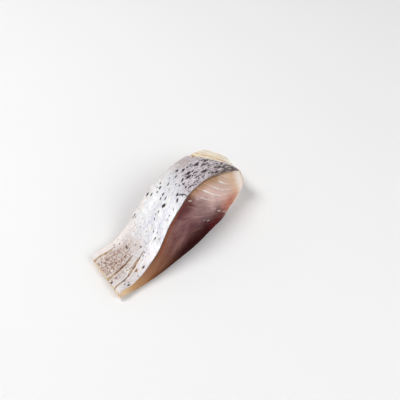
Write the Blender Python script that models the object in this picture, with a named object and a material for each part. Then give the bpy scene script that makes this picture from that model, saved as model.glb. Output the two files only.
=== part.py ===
"""A slice of lightly salted herring fillet, lying skin side up on its underside.

The fillet is sliced across, so the slice is long from the belly edge to the back of the fish and
narrow between its two cuts. One block is sliced into a grid and every grid point is placed by
place(u, v, w): u runs from the belly edge (0) to the back (1), v from the near cut (0) to the far
cut (1), and w from the underside (0) to the skin (1). Metres, +Z up.
"""

import math
from collections import namedtuple

import bmesh
import bpy
from mathutils import Matrix, Vector, noise

# Driving dimensions of the slice
NEAR_LENGTH = 0.0788
FAR_LENGTH = 0.0825
SLICE_WIDTH = 0.0235
THICKNESS = 0.0200
# The knife crossed the fish at a slant, seen from above and seen along the slice
FAR_SHIFT = 0.0090
NEAR_SLANT = math.radians(20)
FAR_SLANT = math.radians(7)
# Soft flesh bows and slumps
PLAN_BOW = 0.0026
BOW_REACH = 1.15
CUT_BULGE = 0.0006
SKIN_CROWN = 0.0007
NOSE_BULGE = 0.0012
BELLY_LIFT = 0.0011
BACK_CORNER_ROUNDING = 0.0026
SKIN_TIP = 0.0017

# Height of the skin along each cut and of the underside, as (u, share of THICKNESS)
NEAR_SKIN_LINE = (
    (0.00, 0.095), (0.03, 0.13), (0.09, 0.16), (0.20, 0.29), (0.30, 0.465), (0.41, 0.73),
    (0.53, 0.94), (0.65, 1.00), (0.78, 0.955), (0.89, 0.815), (0.96, 0.69), (1.00, 0.58),
)
FAR_SKIN_LINE = (
    (0.00, 0.085), (0.03, 0.12), (0.09, 0.15), (0.16, 0.165), (0.23, 0.29), (0.31, 0.51), (0.41, 0.75),
    (0.51, 0.865), (0.61, 0.89), (0.72, 0.82), (0.83, 0.67), (0.92, 0.485), (0.97, 0.37), (1.00, 0.28),
)
UNDERSIDE_LINE = ((0.00, 0.0), (0.76, 0.0), (0.86, 0.035), (0.93, 0.10), (1.00, 0.24))
FAR_NOSE_SHARE = 0.40

# The back edge, where the fin was trimmed off: it starts at this u on each cut
TRIM_AT_NEAR = 1.04
TRIM_AT_FAR = 0.83
TRIM_STEP = 0.0005
TRIM_RIDGE_SPACING = 0.0032
TRIM_RIDGE_DEPTH = 0.00022

# Splits in the thin belly skin, from (u, v) to (u, v)
Split = namedtuple("Split", "start end width depth")
SPLITS = (
    Split((-0.02, 0.19), (0.23, 0.29), 0.0011, 0.0007),
    Split((-0.02, 0.38), (0.19, 0.43), 0.0012, 0.0007),
    Split((0.00, 0.90), (0.16, 0.82), 0.0010, 0.0006),
    Split((0.02, 0.55), (0.12, 0.57), 0.0008, 0.0004),
)

# Muscle flakes that the cuts show
FLAKE_SPACING = 0.0046
FLAKE_LEAN = 0.85
FLAKE_CURVE = 14.0
FLAKE_DEPTH = 0.00026
FLAKES_FROM = 0.58

# Faint rib marks on the underside and the unevenness of the whole
RIB_SPACING = 0.0061
RIB_DEPTH = 0.00030
RIB_LEAN = 0.6
RIBS_END = 0.36
SKIN_WAVE = 0.00030
CUT_WAVE = 0.00045

# Grid of the block, finer along the back
BACK_FROM = 0.80
CELLS_TO_BACK = 46
CELLS_IN_BACK = 20
CELLS_ACROSS = 24
CELLS_UP = 12

SKIN_COLOUR = (0.72, 0.73, 0.77, 1.0)
FLESH_COLOUR = (0.56, 0.33, 0.29, 1.0)


def mix(a, b, share):
    return a + (b - a) * share


def smooth(low, high, x):
    """0 below low, 1 above high, with a soft rise between."""
    t = min(1.0, max(0.0, (x - low) / (high - low)))
    return t * t * (3 - 2 * t)


def along(line, u):
    """The height of a line of (u, height) knots at u, on a smooth cubic through the knots."""
    last = len(line) - 2
    i = next((k for k in range(last) if u < line[k + 1][0]), last)
    (u0, h0), (u1, h1) = line[i], line[i + 1]

    def slope(k):
        (ua, ha), (ub, hb) = line[max(k - 1, 0)], line[min(k + 1, last + 1)]
        return (hb - ha) / (ub - ua) * (u1 - u0)

    t = (u - u0) / (u1 - u0)
    start = (2 * t**3 - 3 * t**2 + 1) * h0 + (t**3 - 2 * t**2 + t) * slope(i)
    end = (3 * t**2 - 2 * t**3) * h1 + (t**3 - t**2) * slope(i + 1)
    return start + end


def groove(distance, width):
    """1 on the line of a groove, falling to 0 at its edges."""
    return math.exp(-((2.2 * distance / width) ** 2))


def wave(x, y, scale, seed):
    """Smooth unevenness between about -1 and 1."""
    return noise.noise(Vector((x / scale, y / scale, seed)))


def split_depth(u, v):
    """How deep the splits of the belly skin reach at this place of the skin."""
    depth = 0.0
    spot = Vector((u * NEAR_LENGTH, v * SLICE_WIDTH))
    for split in SPLITS:
        start, end = (Vector((p[0] * NEAR_LENGTH, p[1] * SLICE_WIDTH)) for p in (split.start, split.end))
        run = end - start
        share = min(1.0, max(0.0, (spot - start).dot(run) / run.length_squared))
        distance = (spot - start - run * share).length
        taper = 1 - 0.7 * share
        depth = max(depth, split.depth * taper * groove(distance, split.width))
    return depth


def trim_relief(u, v):
    """The step down to the trimmed back edge, and the ridges that run along it."""
    past = (u - mix(TRIM_AT_NEAR, TRIM_AT_FAR, v)) * FAR_LENGTH
    if past <= 0:
        return 0.0
    ridges = math.sin(math.tau * past / TRIM_RIDGE_SPACING) * TRIM_RIDGE_DEPTH
    fade = smooth(0, 0.0025, past) * (1 - smooth(0.96, 1.0, u))
    return -TRIM_STEP * smooth(0, 0.0025, past) + ridges * fade


def skin_relief(u, v):
    x, y = u * NEAR_LENGTH, v * SLICE_WIDTH
    uneven = SKIN_WAVE * wave(x, y, 0.009, 3.1) + 0.4 * SKIN_WAVE * wave(x, y, 0.0035, 7.7)
    return uneven + trim_relief(u, v) - split_depth(u, v)


def flake_relief(x, z, share_up, seed):
    """The muscle flakes on a cut: curved grooves that lean towards the back and fade downwards."""
    bend = 0.0011 * wave(x, z, 0.014, seed) - FLAKE_CURVE * z * z
    phase = (x + FLAKE_LEAN * z + bend) / FLAKE_SPACING
    mark = groove((phase - round(phase)) * FLAKE_SPACING, 0.0019)
    back = smooth(FLAKES_FROM - 0.10, FLAKES_FROM + 0.10, x / NEAR_LENGTH)
    height = smooth(0.05, 0.5, share_up) * (1 - smooth(0.88, 1.0, share_up))
    return -FLAKE_DEPTH * mark * back * height * (1 + 0.6 * wave(x, z, 0.008, seed + 5))


def rib_relief(u, v):
    """Shallow marks of the ribs on the belly half; the back half lies flat."""
    x, y = u * NEAR_LENGTH, v * SLICE_WIDTH
    phase = (x + RIB_LEAN * y + 0.0012 * wave(x, y, 0.012, 5.3)) / RIB_SPACING
    marks = groove((phase - round(phase)) * RIB_SPACING, 0.0024)
    belly = smooth(0.03, 0.10, u) * (1 - smooth(RIBS_END - 0.08, RIBS_END, u))
    inside = smooth(0.0, 0.15, v) * smooth(0.0, 0.15, 1 - v)
    return RIB_DEPTH * marks * belly * inside


def place(u, v, w):
    """The point of the slice that stands at (u, v, w) of the unit block."""
    length = mix(NEAR_LENGTH, FAR_LENGTH, v)
    crown = SKIN_CROWN * (1 - (2 * v - 1) ** 2) * smooth(0.1, 0.4, u)
    top = THICKNESS * mix(along(NEAR_SKIN_LINE, u), along(FAR_SKIN_LINE, u), v) + crown
    bottom = THICKNESS * max(0.0, along(UNDERSIDE_LINE, u)) * mix(1, FAR_NOSE_SHARE, v)
    # The belly edge curls up a little, most at the near cut
    lift = BELLY_LIFT * (1 - smooth(0.0, 0.15, u)) * mix(1, 0.4, v)
    z = mix(bottom + rib_relief(u, v), top + skin_relief(u, v), w) + lift

    nose = NOSE_BULGE * smooth(0.86, 1.0, u) * (1 - (2 * w - 1) ** 2)
    corner = BACK_CORNER_ROUNDING * smooth(0.90, 1.0, u) * smooth(0.72, 1.0, v)
    tip = SKIN_TIP * smooth(0.93, 1.0, u) * w**4 * (1 - smooth(0.0, 0.3, v))
    x = v * FAR_SHIFT + u * length + nose - corner + tip
    slump = CUT_BULGE * math.sin(math.pi * w) * smooth(0.05, 0.4, u)
    slant = math.tan(mix(NEAR_SLANT, FAR_SLANT, v))
    bow = PLAN_BOW * max(0.0, math.sin(math.pi * BOW_REACH * u)) ** 0.8
    y = v * SLICE_WIDTH + z * slant - bow - mix(slump, -slump, v)
    if v in (0, 1):
        outward = -1 if v == 0 else 1
        uneven = CUT_WAVE * wave(x, z, 0.016, 11.0 + v)
        y += outward * (uneven + flake_relief(u * length, z, w, 21.0 + v))
    return Vector((x, y, z))


def cuts(low, high, cells):
    """Where the planes lie that slice low to high into equal cells, high itself left out."""
    return [mix(low, high, k / cells) for k in range(cells)]


def sliced_block():
    """A unit block from (0, 0, 0) to (1, 1, 1), sliced into a grid along its three axes."""
    bm = bmesh.new()
    bmesh.ops.create_cube(bm, size=1.0, matrix=Matrix.Translation((0.5, 0.5, 0.5)))
    cuts_along = cuts(0, BACK_FROM, CELLS_TO_BACK) + cuts(BACK_FROM, 1, CELLS_IN_BACK)
    grid = (cuts_along, cuts(0, 1, CELLS_ACROSS), cuts(0, 1, CELLS_UP))
    for axis, levels in enumerate(grid):
        normal = Vector((0, 0, 0))
        normal[axis] = 1
        for level in levels[1:]:
            everything = bm.verts[:] + bm.edges[:] + bm.faces[:]
            bmesh.ops.bisect_plane(bm, geom=everything, plane_co=normal * level, plane_no=normal)
    return bm


def material(name, colour, roughness, metallic):
    made = bpy.data.materials.new(name)
    made.use_nodes = True
    made.diffuse_color = colour
    shader = made.node_tree.nodes["Principled BSDF"]
    shader.inputs["Base Color"].default_value = colour
    shader.inputs["Roughness"].default_value = roughness
    shader.inputs["Metallic"].default_value = metallic
    return made


def make_slice(collection):
    """The whole slice as one solid, its base centred on the origin."""
    bm = sliced_block()
    for face in bm.faces:
        face.smooth = True
        face.material_index = 1 if face.normal.z > 0.5 else 0
    for vert in bm.verts:
        # The slicing planes leave rounding errors, and place() tests for the faces of the block
        vert.co = place(*(round(c, 5) for c in vert.co))
    low = Vector([min(v.co[k] for v in bm.verts) for k in range(3)])
    high = Vector([max(v.co[k] for v in bm.verts) for k in range(3)])
    base = Vector(((low.x + high.x) / 2, (low.y + high.y) / 2, low.z))
    bmesh.ops.translate(bm, verts=bm.verts, vec=-base)
    mesh = bpy.data.meshes.new("herring_slice")
    bm.to_mesh(mesh)
    bm.free()
    mesh.materials.append(material("salted_flesh", FLESH_COLOUR, 0.35, 0.0))
    mesh.materials.append(material("silver_skin", SKIN_COLOUR, 0.30, 0.5))
    mesh.set_sharp_from_angle(angle=math.radians(40))
    made = bpy.data.objects.new("herring_slice", mesh)
    collection.objects.link(made)
    return made


def main():
    for old in list(bpy.data.objects):
        bpy.data.objects.remove(old)
    collection = bpy.data.collections.new("herring_slice")
    bpy.context.scene.collection.children.link(collection)
    make_slice(collection)


main()
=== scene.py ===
"""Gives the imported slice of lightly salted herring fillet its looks.

The slice lies skin side up. Every place on it is a point (u, v, w) of a unit block: u runs from the
belly edge (0) to the back (1), v from the near cut (0) to the far cut (1) and w from the underside
(0) to the skin (1). Shape.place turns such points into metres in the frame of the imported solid.
"""

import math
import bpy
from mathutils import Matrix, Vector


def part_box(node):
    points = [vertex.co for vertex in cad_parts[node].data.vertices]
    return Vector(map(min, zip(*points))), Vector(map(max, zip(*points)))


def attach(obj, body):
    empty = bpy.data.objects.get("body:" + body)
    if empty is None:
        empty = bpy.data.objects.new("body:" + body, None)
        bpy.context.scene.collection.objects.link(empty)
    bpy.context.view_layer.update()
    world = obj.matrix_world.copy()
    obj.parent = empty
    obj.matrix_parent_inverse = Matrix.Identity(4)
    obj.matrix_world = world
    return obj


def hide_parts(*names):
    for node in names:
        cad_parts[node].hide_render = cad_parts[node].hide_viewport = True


bl_info = {
    "name": "Herring slice",
    "version": (1, 0, 0),
    "blender": (4, 5, 0),
    "location": "View3D > Sidebar > Herring",
    "description": "Flesh, skin, septa, specks and brine of a slice of salted herring fillet",
    "category": "Add Mesh",
}

from collections import namedtuple

import bpy
import numpy as np
from bpy.props import (
    FloatProperty,
    FloatVectorProperty,
    IntProperty,
    PointerProperty,
)
from mathutils import Matrix, Vector, noise

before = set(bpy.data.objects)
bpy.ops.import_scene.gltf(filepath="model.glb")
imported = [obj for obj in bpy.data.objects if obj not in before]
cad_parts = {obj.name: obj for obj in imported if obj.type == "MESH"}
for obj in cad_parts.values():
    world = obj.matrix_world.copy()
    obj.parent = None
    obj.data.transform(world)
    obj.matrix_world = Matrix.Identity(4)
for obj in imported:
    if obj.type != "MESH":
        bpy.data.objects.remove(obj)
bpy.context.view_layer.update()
NODE = "herring_slice"
BODY = "root"
MM = 0.001

# Pieces on a square metre for one on a square centimetre
PER_SQUARE_CM = 1e4

# Scale of the patterns on the surface: mm for the whole of u and of v, and mm of u along the near cut
ALONG_MM = 80.0
ACROSS_MM = 23.5
NEAR_CUT_MM = 79.0

# Widths of the strands of fat, of the ribs' marks below and of the steps along a white thread
FAT_STRAND_MM = 3.2
RIB_STEP = 6.1 * MM
THREAD_STEP_MM = 0.16

# Middle of the fine wrinkles of the belly, in mm along the near cut and across the slice
RINGS_MIDDLE = (12.6, 12.2)

# Radius of the flat floor, radius of its bend into the wall and height of the wall, in metres
FLOOR_RADIUS = 1.0
COVE = 0.5
WALL_TOP = 0.9

# Refraction of the thin film of brine that wets every surface
BRINE_FILM_IOR = 1.36

# Height of the skin along each cut and of the underside, as (u, share of the thickness)
NEAR_SKIN_LINE = (
    (0.00, 0.095), (0.03, 0.13), (0.09, 0.16), (0.20, 0.29), (0.30, 0.465), (0.41, 0.73),
    (0.53, 0.94), (0.65, 1.00), (0.78, 0.955), (0.89, 0.815), (0.96, 0.69), (1.00, 0.58),
)
FAR_SKIN_LINE = (
    (0.00, 0.085), (0.03, 0.12), (0.09, 0.15), (0.16, 0.165), (0.23, 0.29), (0.31, 0.51), (0.41, 0.75),
    (0.51, 0.865), (0.61, 0.89), (0.72, 0.82), (0.83, 0.67), (0.92, 0.485), (0.97, 0.37), (1.00, 0.28),
)
UNDERSIDE_LINE = ((0.00, 0.0), (0.76, 0.0), (0.86, 0.035), (0.93, 0.10), (1.00, 0.24))

# Where the skin ends towards the back, as (v, u): past it the trimmed back edge lies bare
SKIN_END = (
    (-0.03, 0.984), (0.10, 0.990), (0.20, 0.992), (0.28, 0.982), (0.36, 0.955), (0.47, 0.915),
    (0.60, 0.865), (0.75, 0.812), (0.90, 0.772), (1.03, 0.745),
)

# Slits in the thin belly skin: the (u, v) places that each one joins, its width and depth in mm
Slit = namedtuple("Slit", "path width depth")
SLITS = (
    Slit(((-0.03, 0.12), (0.05, 0.15), (0.10, 0.180)), 0.58, 0.50),
    Slit(((0.080, 0.165), (0.105, 0.185), (0.14, 0.225), (0.175, 0.262), (0.24, 0.29)), 0.78, 0.60),
    Slit(((-0.03, 0.365), (0.05, 0.388), (0.10, 0.408), (0.18, 0.442)), 0.82, 0.55),
    Slit(((-0.03, 0.905), (0.04, 0.885), (0.08, 0.865), (0.125, 0.868)), 0.95, 0.34),
    Slit(((0.11, 0.285), (0.15, 0.275), (0.20, 0.315)), 0.40, 0.50),
)
NICK = Slit(((0.535, 0.235), (0.560, 0.150), (0.575, 0.080), (0.592, -0.05)), 0.62, 0.20)

# White septa that stand out on the near cut: sweep line in mm, heights in mm, width in mm
Septum = namedtuple("Septum", "sweep top bottom width")
NEAR_SEPTA = (
    Septum(73.2, 17.4, 9.4, 0.80),
    Septum(77.3, 16.7, 10.2, 0.74),
    Septum(81.5, 15.1, 11.2, 0.64),
    Septum(69.1, 15.6, 12.0, 0.42),
    Septum(73.0, 8.6, 6.6, 0.20),
    Septum(77.2, 9.4, 7.6, 0.18),
)

# Pearly white flecks along the septa of the near cut, painted highlights that stand in for the sparkle of
# wet flesh: (u, share of the height), length and width in mm
SparkleFleck = namedtuple("SparkleFleck", "u w length width")
SPARKLE_FLECKS = (
    SparkleFleck(0.589, 0.885, 1.30, 0.55), SparkleFleck(0.600, 0.865, 0.70, 0.45),
    SparkleFleck(0.649, 0.775, 0.90, 0.34), SparkleFleck(0.667, 0.757, 0.80, 0.40), SparkleFleck(0.685, 0.729, 1.20, 0.55),
    SparkleFleck(0.683, 0.690, 0.50, 0.26), SparkleFleck(0.722, 0.621, 0.80, 0.32), SparkleFleck(0.649, 0.645, 0.45, 0.24),
    SparkleFleck(0.729, 0.407, 0.70, 0.36), SparkleFleck(0.747, 0.350, 0.40, 0.24), SparkleFleck(0.766, 0.271, 0.70, 0.34),
    SparkleFleck(0.778, 0.229, 0.90, 0.36), SparkleFleck(0.812, 0.129, 1.00, 0.40), SparkleFleck(0.827, 0.060, 0.90, 0.42),
    SparkleFleck(0.673, 0.250, 0.75, 0.42), SparkleFleck(0.646, 0.321, 0.55, 0.26), SparkleFleck(0.612, 0.560, 0.35, 0.20),
    SparkleFleck(0.700, 0.560, 0.40, 0.22), SparkleFleck(0.760, 0.520, 0.50, 0.22), SparkleFleck(0.795, 0.420, 0.45, 0.22),
)

# Marks of the skin that stand out: (u, v), length and width in mm, turn in degrees
Mark = namedtuple("Mark", "u v length width turn")
DARK_MARKS = (
    Mark(0.440, 0.38, 1.75, 1.10, -37), Mark(0.520, 0.14, 1.30, 0.75, 12),
    Mark(0.473, 0.765, 1.15, 0.85, 10), Mark(0.448, 0.75, 0.80, 0.50, 0),
    Mark(0.415, 0.85, 0.95, 0.70, 10), Mark(0.461, 0.84, 0.60, 0.45, 0),
    Mark(0.446, 0.565, 0.80, 0.60, 15), Mark(0.468, 0.575, 1.15, 0.75, 10),
    Mark(0.468, 0.445, 1.10, 0.55, 0), Mark(0.522, 0.64, 1.10, 0.60, 24),
    Mark(0.585, 0.62, 1.10, 0.65, 18), Mark(0.612, 0.755, 1.25, 1.00, 0),
    Mark(0.651, 0.645, 1.35, 0.95, 10), Mark(0.682, 0.645, 1.10, 0.85, 12),
    Mark(0.608, 0.41, 1.25, 0.80, 25), Mark(0.605, 0.30, 1.00, 0.60, 0),
    Mark(0.606, 0.185, 1.00, 0.80, 10), Mark(0.656, 0.365, 2.30, 1.10, 4),
    Mark(0.668, 0.46, 2.20, 1.20, 10), Mark(0.697, 0.44, 1.10, 0.55, -10),
    Mark(0.704, 0.21, 1.50, 0.60, 6), Mark(0.723, 0.34, 1.00, 0.60, 20),
    Mark(0.751, 0.575, 2.50, 1.00, 6), Mark(0.771, 0.238, 2.90, 1.40, -14),
    Mark(0.793, 0.45, 2.20, 1.10, 8), Mark(0.835, 0.56, 2.60, 0.85, 4),
    Mark(0.822, 0.34, 1.30, 0.55, 0), Mark(0.864, 0.21, 1.50, 0.85, 0),
    Mark(0.893, 0.20, 1.60, 0.95, 10), Mark(0.912, 0.27, 1.20, 0.55, 5),
    Mark(0.820, 0.075, 1.30, 0.75, 0), Mark(0.850, 0.055, 1.60, 0.90, 5),
    Mark(0.749, 0.11, 1.00, 0.55, 0), Mark(0.929, 0.22, 1.30, 0.60, 12),
    Mark(0.925, 0.09, 1.50, 0.80, 0), Mark(0.965, 0.13, 1.40, 0.70, 0),
    Mark(0.560, 0.46, 0.90, 0.45, 15), Mark(0.575, 0.36, 0.80, 0.45, 10),
    Mark(0.237, 0.39, 0.80, 0.50, -15), Mark(0.234, 0.25, 0.55, 0.40, 0),
    Mark(0.317, 0.186, 0.85, 0.55, -15), Mark(0.190, 0.071, 1.25, 0.65, -15),
    Mark(0.068, 0.143, 1.20, 0.80, 10), Mark(0.012, 0.271, 0.90, 0.65, 0),
    Mark(0.076, 0.02, 0.95, 0.60, 0), Mark(0.061, 0.071, 0.60, 0.45, 0),
    Mark(0.159, 0.43, 0.80, 0.40, 5), Mark(0.365, 0.42, 0.70, 0.40, 15),
    Mark(0.400, 0.41, 0.80, 0.45, 18), Mark(0.183, 0.70, 0.75, 0.60, 0),
    Mark(0.288, 0.65, 0.55, 0.35, 5), Mark(0.400, 0.965, 1.10, 0.75, 0),
    Mark(0.546, 0.735, 0.75, 0.45, 20), Mark(0.488, 0.845, 0.80, 0.50, 15),
    Mark(0.439, 0.107, 0.60, 0.38, -20), Mark(0.476, 0.093, 0.70, 0.38, -10),
    Mark(0.536, 0.230, 1.15, 0.80, 10),
)
BROWN_MARKS = (
    Mark(0.044, 0.293, 1.15, 0.80, 5), Mark(0.132, 0.87, 0.80, 0.55, 0),
    Mark(0.149, 0.564, 1.30, 1.00, 0), Mark(0.776, 0.895, 2.40, 0.80, 0),
    Mark(0.868, 0.495, 2.40, 0.80, -8), Mark(0.905, 0.415, 1.90, 0.60, -10),
    Mark(0.822, 0.70, 1.70, 0.50, -15), Mark(0.805, 0.80, 1.30, 0.45, -10),
    Mark(0.725, 0.80, 1.10, 0.45, 10), Mark(0.690, 0.88, 1.00, 0.40, 10),
)
AMBER_MARKS = (
    Mark(0.151, 0.15, 1.55, 1.10, 10), Mark(0.015, 0.39, 1.35, 0.90, 5),
    Mark(0.090, 0.557, 0.90, 0.60, 0), Mark(0.076, 0.87, 0.90, 0.60, 0),
    Mark(0.251, 0.75, 0.60, 0.45, 0),
)


def linear(shown):
    """The linear colour of the sRGB bytes that it shows as."""
    shares = [c / 255 for c in shown]
    return tuple(s / 12.92 if s <= 0.04045 else ((s + 0.055) / 1.055) ** 2.4 for s in shares)


def colour_property(name, description, shown):
    """A colour property whose default is given as the sRGB bytes that it shows as."""
    return FloatVectorProperty(
        name=name,
        description=description,
        subtype="COLOR",
        size=3,
        min=0.0,
        max=1.0,
        default=linear(shown),
    )


def length_property(name, description, default_mm):
    """A length property whose default is given in mm."""
    return FloatProperty(
        name=name,
        description=description,
        subtype="DISTANCE",
        unit="LENGTH",
        precision=5,
        default=default_mm * MM,
    )


def angle_property(name, description, degrees):
    """An angle property whose default is given in degrees."""
    return FloatProperty(
        name=name,
        description=description,
        subtype="ANGLE",
        unit="ROTATION",
        default=math.radians(degrees),
    )


class HerringShape(bpy.types.PropertyGroup):
    """Sizes of the whole slice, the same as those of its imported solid."""

    near_length: length_property("Near length", "Length of the near cut", 78.8)
    far_length: length_property("Far length", "Length of the far cut", 82.5)
    width: length_property("Width", "Distance between the two cuts", 23.5)
    thickness: length_property("Thickness", "Height of the hump", 20.0)
    far_shift: length_property("Far shift", "How far the far cut lies towards the back", 9.0)
    near_slant: angle_property("Near slant", "How far the near cut leans back", 20)
    far_slant: angle_property("Far slant", "How far the far cut leans out", 7)
    bow: length_property("Bow", "How far the belly half bends towards the near side", 2.6)
    edge_radius: length_property("Edge radius", "Rounding of the flesh along its cuts", 0.55)


class HerringFlesh(bpy.types.PropertyGroup):
    """Flakes and colours of the flesh."""

    flake_step: length_property("Flake step", "Distance between two septa", 4.15)
    flake_depth: length_property("Flake depth", "Depth of the groove at a septum", 0.13)
    grain_depth: length_property("Grain depth", "Height of the fine grain on the cuts", 0.035)
    cream: colour_property("Cream", "Flesh at the back end of a cut", (207, 180, 160))
    rose: colour_property("Rose", "Flesh between the back and the middle", (225, 191, 184))
    mauve: colour_property("Mauve", "Flesh in the middle of a cut", (108, 69, 73))
    brown: colour_property("Brown", "Flesh towards the belly", (156, 109, 74))
    ochre: colour_property("Ochre", "Fatty flesh near the belly edge", (191, 149, 107))
    red_muscle: colour_property("Red muscle", "Dark muscle under the skin", (92, 44, 48))
    # Dark red along the underside of a cut: partly a blood stain and partly painted shadow
    blood_and_shade: colour_property("Blood", "Stain along the underside", (44, 14, 16))


class HerringSkin(bpy.types.PropertyGroup):
    """Thickness and colours of the skin."""

    thickness: length_property("Thickness", "Thickness of the skin", 0.34)
    overhang: length_property("Overhang", "How far the skin stands out past the cuts", 0.16)
    silver: colour_property("Silver", "Skin of the flank", (228, 228, 233))
    back: colour_property("Back", "Skin towards the back", (218, 206, 212))
    band: colour_property("Band", "Dark skin along the back", (176, 160, 166))
    belly: colour_property("Belly", "Tan skin of the belly", (200, 178, 164))


class HerringSepta(bpy.types.PropertyGroup):
    """White threads between the rings of muscle."""

    colour: colour_property("Colour", "Colour of the threads", (255, 247, 238))
    far_count: IntProperty(name="Far threads", description="Threads on the far cut", default=16, min=0)
    seed: IntProperty(name="Seed", description="Draw of the far cut's threads", default=7)


class HerringSpecks(bpy.types.PropertyGroup):
    """Fine dark specks and larger marks of the skin."""

    density: FloatProperty(
        name="Density", description="Most specks on a square centimetre", default=150.0, min=0.0
    )
    length: length_property("Length", "Length of the longest small speck", 0.55)
    width: length_property("Width", "Width of the widest small speck", 0.30)
    height: length_property("Height", "Thickness of a speck", 0.09)
    small_marks: IntProperty(
        name="Small marks", description="Small marks among the large ones", default=200, min=0
    )
    seed: IntProperty(name="Seed", description="Draw of the specks", default=4)
    colour: colour_property("Colour", "Colour of the specks", (26, 20, 19))
    brown: colour_property("Brown", "Colour of the brown marks", (112, 66, 52))
    amber: colour_property("Amber", "Colour of the amber marks", (172, 112, 24))


class HerringBrine(bpy.types.PropertyGroup):
    """Beads of brine on the cuts."""

    density: FloatProperty(
        name="Density", description="Most beads on a square centimetre", default=7.0, min=0.0
    )
    size: length_property("Size", "Diameter of the largest bead", 0.55)
    seed: IntProperty(name="Seed", description="Draw of the beads", default=11)


class HerringStage(bpy.types.PropertyGroup):
    """Floor, light and camera."""

    camera_elevation: angle_property("Camera elevation", "How steeply the camera looks down", 40)
    camera_turn: angle_property("Camera turn", "Turn of the view from +Y towards +X", 51)
    camera_distance: length_property("Camera distance", "Distance of the camera", 467.0)
    focal_length: FloatProperty(name="Focal length", description="Lens in mm", default=100.0)
    aim: FloatVectorProperty(
        name="Aim",
        description="Point of the floor at the middle of the picture",
        subtype="TRANSLATION",
        unit="LENGTH",
        size=3,
        default=(0.0206, 0.0030, 0.0),
    )
    floor: colour_property("Floor", "Colour of the floor", (246, 246, 246))
    world: FloatProperty(name="World", description="Brightness of the surroundings", default=0.16)
    key: FloatProperty(name="Key", description="Power of the key light in watts", default=3.5)
    key_size: length_property("Key size", "Diameter of the key light", 360.0)
    fill: FloatProperty(name="Fill", description="Power of the fill light in watts", default=2.1)
    fill_size: length_property("Fill size", "Diameter of the fill light", 420.0)


class HerringSettings(bpy.types.PropertyGroup):
    """Everything that a user would change."""

    shape: PointerProperty(type=HerringShape)
    flesh: PointerProperty(type=HerringFlesh)
    skin: PointerProperty(type=HerringSkin)
    septa: PointerProperty(type=HerringSepta)
    specks: PointerProperty(type=HerringSpecks)
    brine: PointerProperty(type=HerringBrine)
    stage: PointerProperty(type=HerringStage)


def mix(a, b, share):
    return a + (b - a) * share


def flat_mm(u, v):
    """A place on the surface in mm of its patterns, as (along, across): numbers or wires."""
    return u * ALONG_MM, v * ACROSS_MM


def smooth(low, high, x):
    """0 below low, 1 above high, with a soft rise between."""
    t = np.clip((x - low) / (high - low), 0, 1)
    return t * t * (3 - 2 * t)


def along(line, u):
    """The height of a line of (u, height) knots at u, on a smooth cubic through the knots."""
    knots, heights = np.array(line).T
    i = np.clip(np.searchsorted(knots, u, side="right") - 1, 0, len(knots) - 2)
    before = np.maximum(np.arange(len(knots)) - 1, 0)
    after = np.minimum(np.arange(len(knots)) + 1, len(knots) - 1)
    slopes = (heights[after] - heights[before]) / (knots[after] - knots[before])
    step = knots[i + 1] - knots[i]
    t = (u - knots[i]) / step
    start = (2 * t**3 - 3 * t**2 + 1) * heights[i] + (t**3 - 2 * t**2 + t) * step * slopes[i]
    end = (3 * t**2 - 2 * t**3) * heights[i + 1] + (t**3 - t**2) * step * slopes[i + 1]
    return start + end


def groove(distance, width):
    """1 on the line of a groove, falling to 0 at its edges."""
    return np.exp(-((2.2 * distance / width) ** 2))


def waves(x, y, scale, seed):
    """Smooth unevenness between about -1 and 1."""
    flat = zip(np.ravel(x / scale), np.ravel(y / scale))
    return np.array([noise.noise((a, b, seed)) for a, b in flat]).reshape(np.shape(x))


def from_path(path, x, y):
    """(distance, share of the path, side of it) of each place from a path, and the path's length."""
    runs = np.diff(path, axis=0)
    sizes = np.hypot(*runs.T)
    starts = np.concatenate([[0], np.cumsum(sizes)])
    distance = np.full(np.shape(x), 1e3)
    share, side = np.zeros((2, *np.shape(x)))
    for start, run, size, before in zip(path, runs, sizes, starts):
        ahead, beside = x - start[0], y - start[1]
        t = np.clip((ahead * run[0] + beside * run[1]) / size**2, 0, 1)
        away = np.hypot(ahead - run[0] * t, beside - run[1] * t)
        closer = away < distance
        distance = np.where(closer, away, distance)
        share = np.where(closer, (before + t * size) / starts[-1], share)
        side = np.where(closer, np.sign(ahead * run[1] - beside * run[0]), side)
    return distance, share, side, starts[-1]


def slit_field(slit, u, v):
    """(openness, raised lip, nearness) of one slit at each place, 0 to 1, and its side, -1 to 1."""
    scale = np.array((NEAR_CUT_MM, ACROSS_MM))
    x, y = u * scale[0], v * scale[1]
    distance, share, side, length = from_path(np.array(slit.path) * scale, x, y)
    wander = 0.30 * waves(x, y, 2.3, 40.5) + 0.16 * waves(x, y, 0.7, 41.5)
    across = distance * side + wander
    distance = np.abs(across)
    pinch = 1 + 1.1 * waves(share * length / 2.6, share * 0, 1.0, 42.5)
    taper = np.sqrt(1.02 - share**3) * np.minimum(1, 0.3 + 6 * share)
    half = 0.5 * slit.width * taper * np.clip(pinch, 0.12, 1.5)
    opened = smooth(half + 0.16, half - 0.14, distance)
    lip = groove(distance - half - 0.42, 0.8) * (1 - share**2)
    near = groove(distance, 4.2 * slit.width) * (1 - share**2)
    return opened, lip, near, np.clip(across / half, -1, 1)


def slit_fields(u, v):
    """(depth in metres, openness, raised lip, nearness, side) over all the slits of the belly."""
    depth, opened, lip, near, side = np.zeros((5, *np.shape(u)))
    for slit in SLITS:
        one = slit_field(slit, u, v)
        depth = np.maximum(depth, slit.depth * MM * one[0])
        side = np.where(one[0] > opened, one[3], side)
        opened, lip, near = (np.maximum(a, b) for a, b in zip((opened, lip, near), one))
    return depth, opened, lip * (1 - opened), near, side


def smooth_ramp(x, soft):
    """x above 0 and 0 below it, with a soft bend."""
    return soft * np.logaddexp(0, x / soft)


def sweep_shift(z):
    """How far back a septum runs below the height z, in mm: steep near the skin, flatter below."""
    return 1.05 * z - 1.3 * smooth_ramp(10 - z, 1.2)


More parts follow.
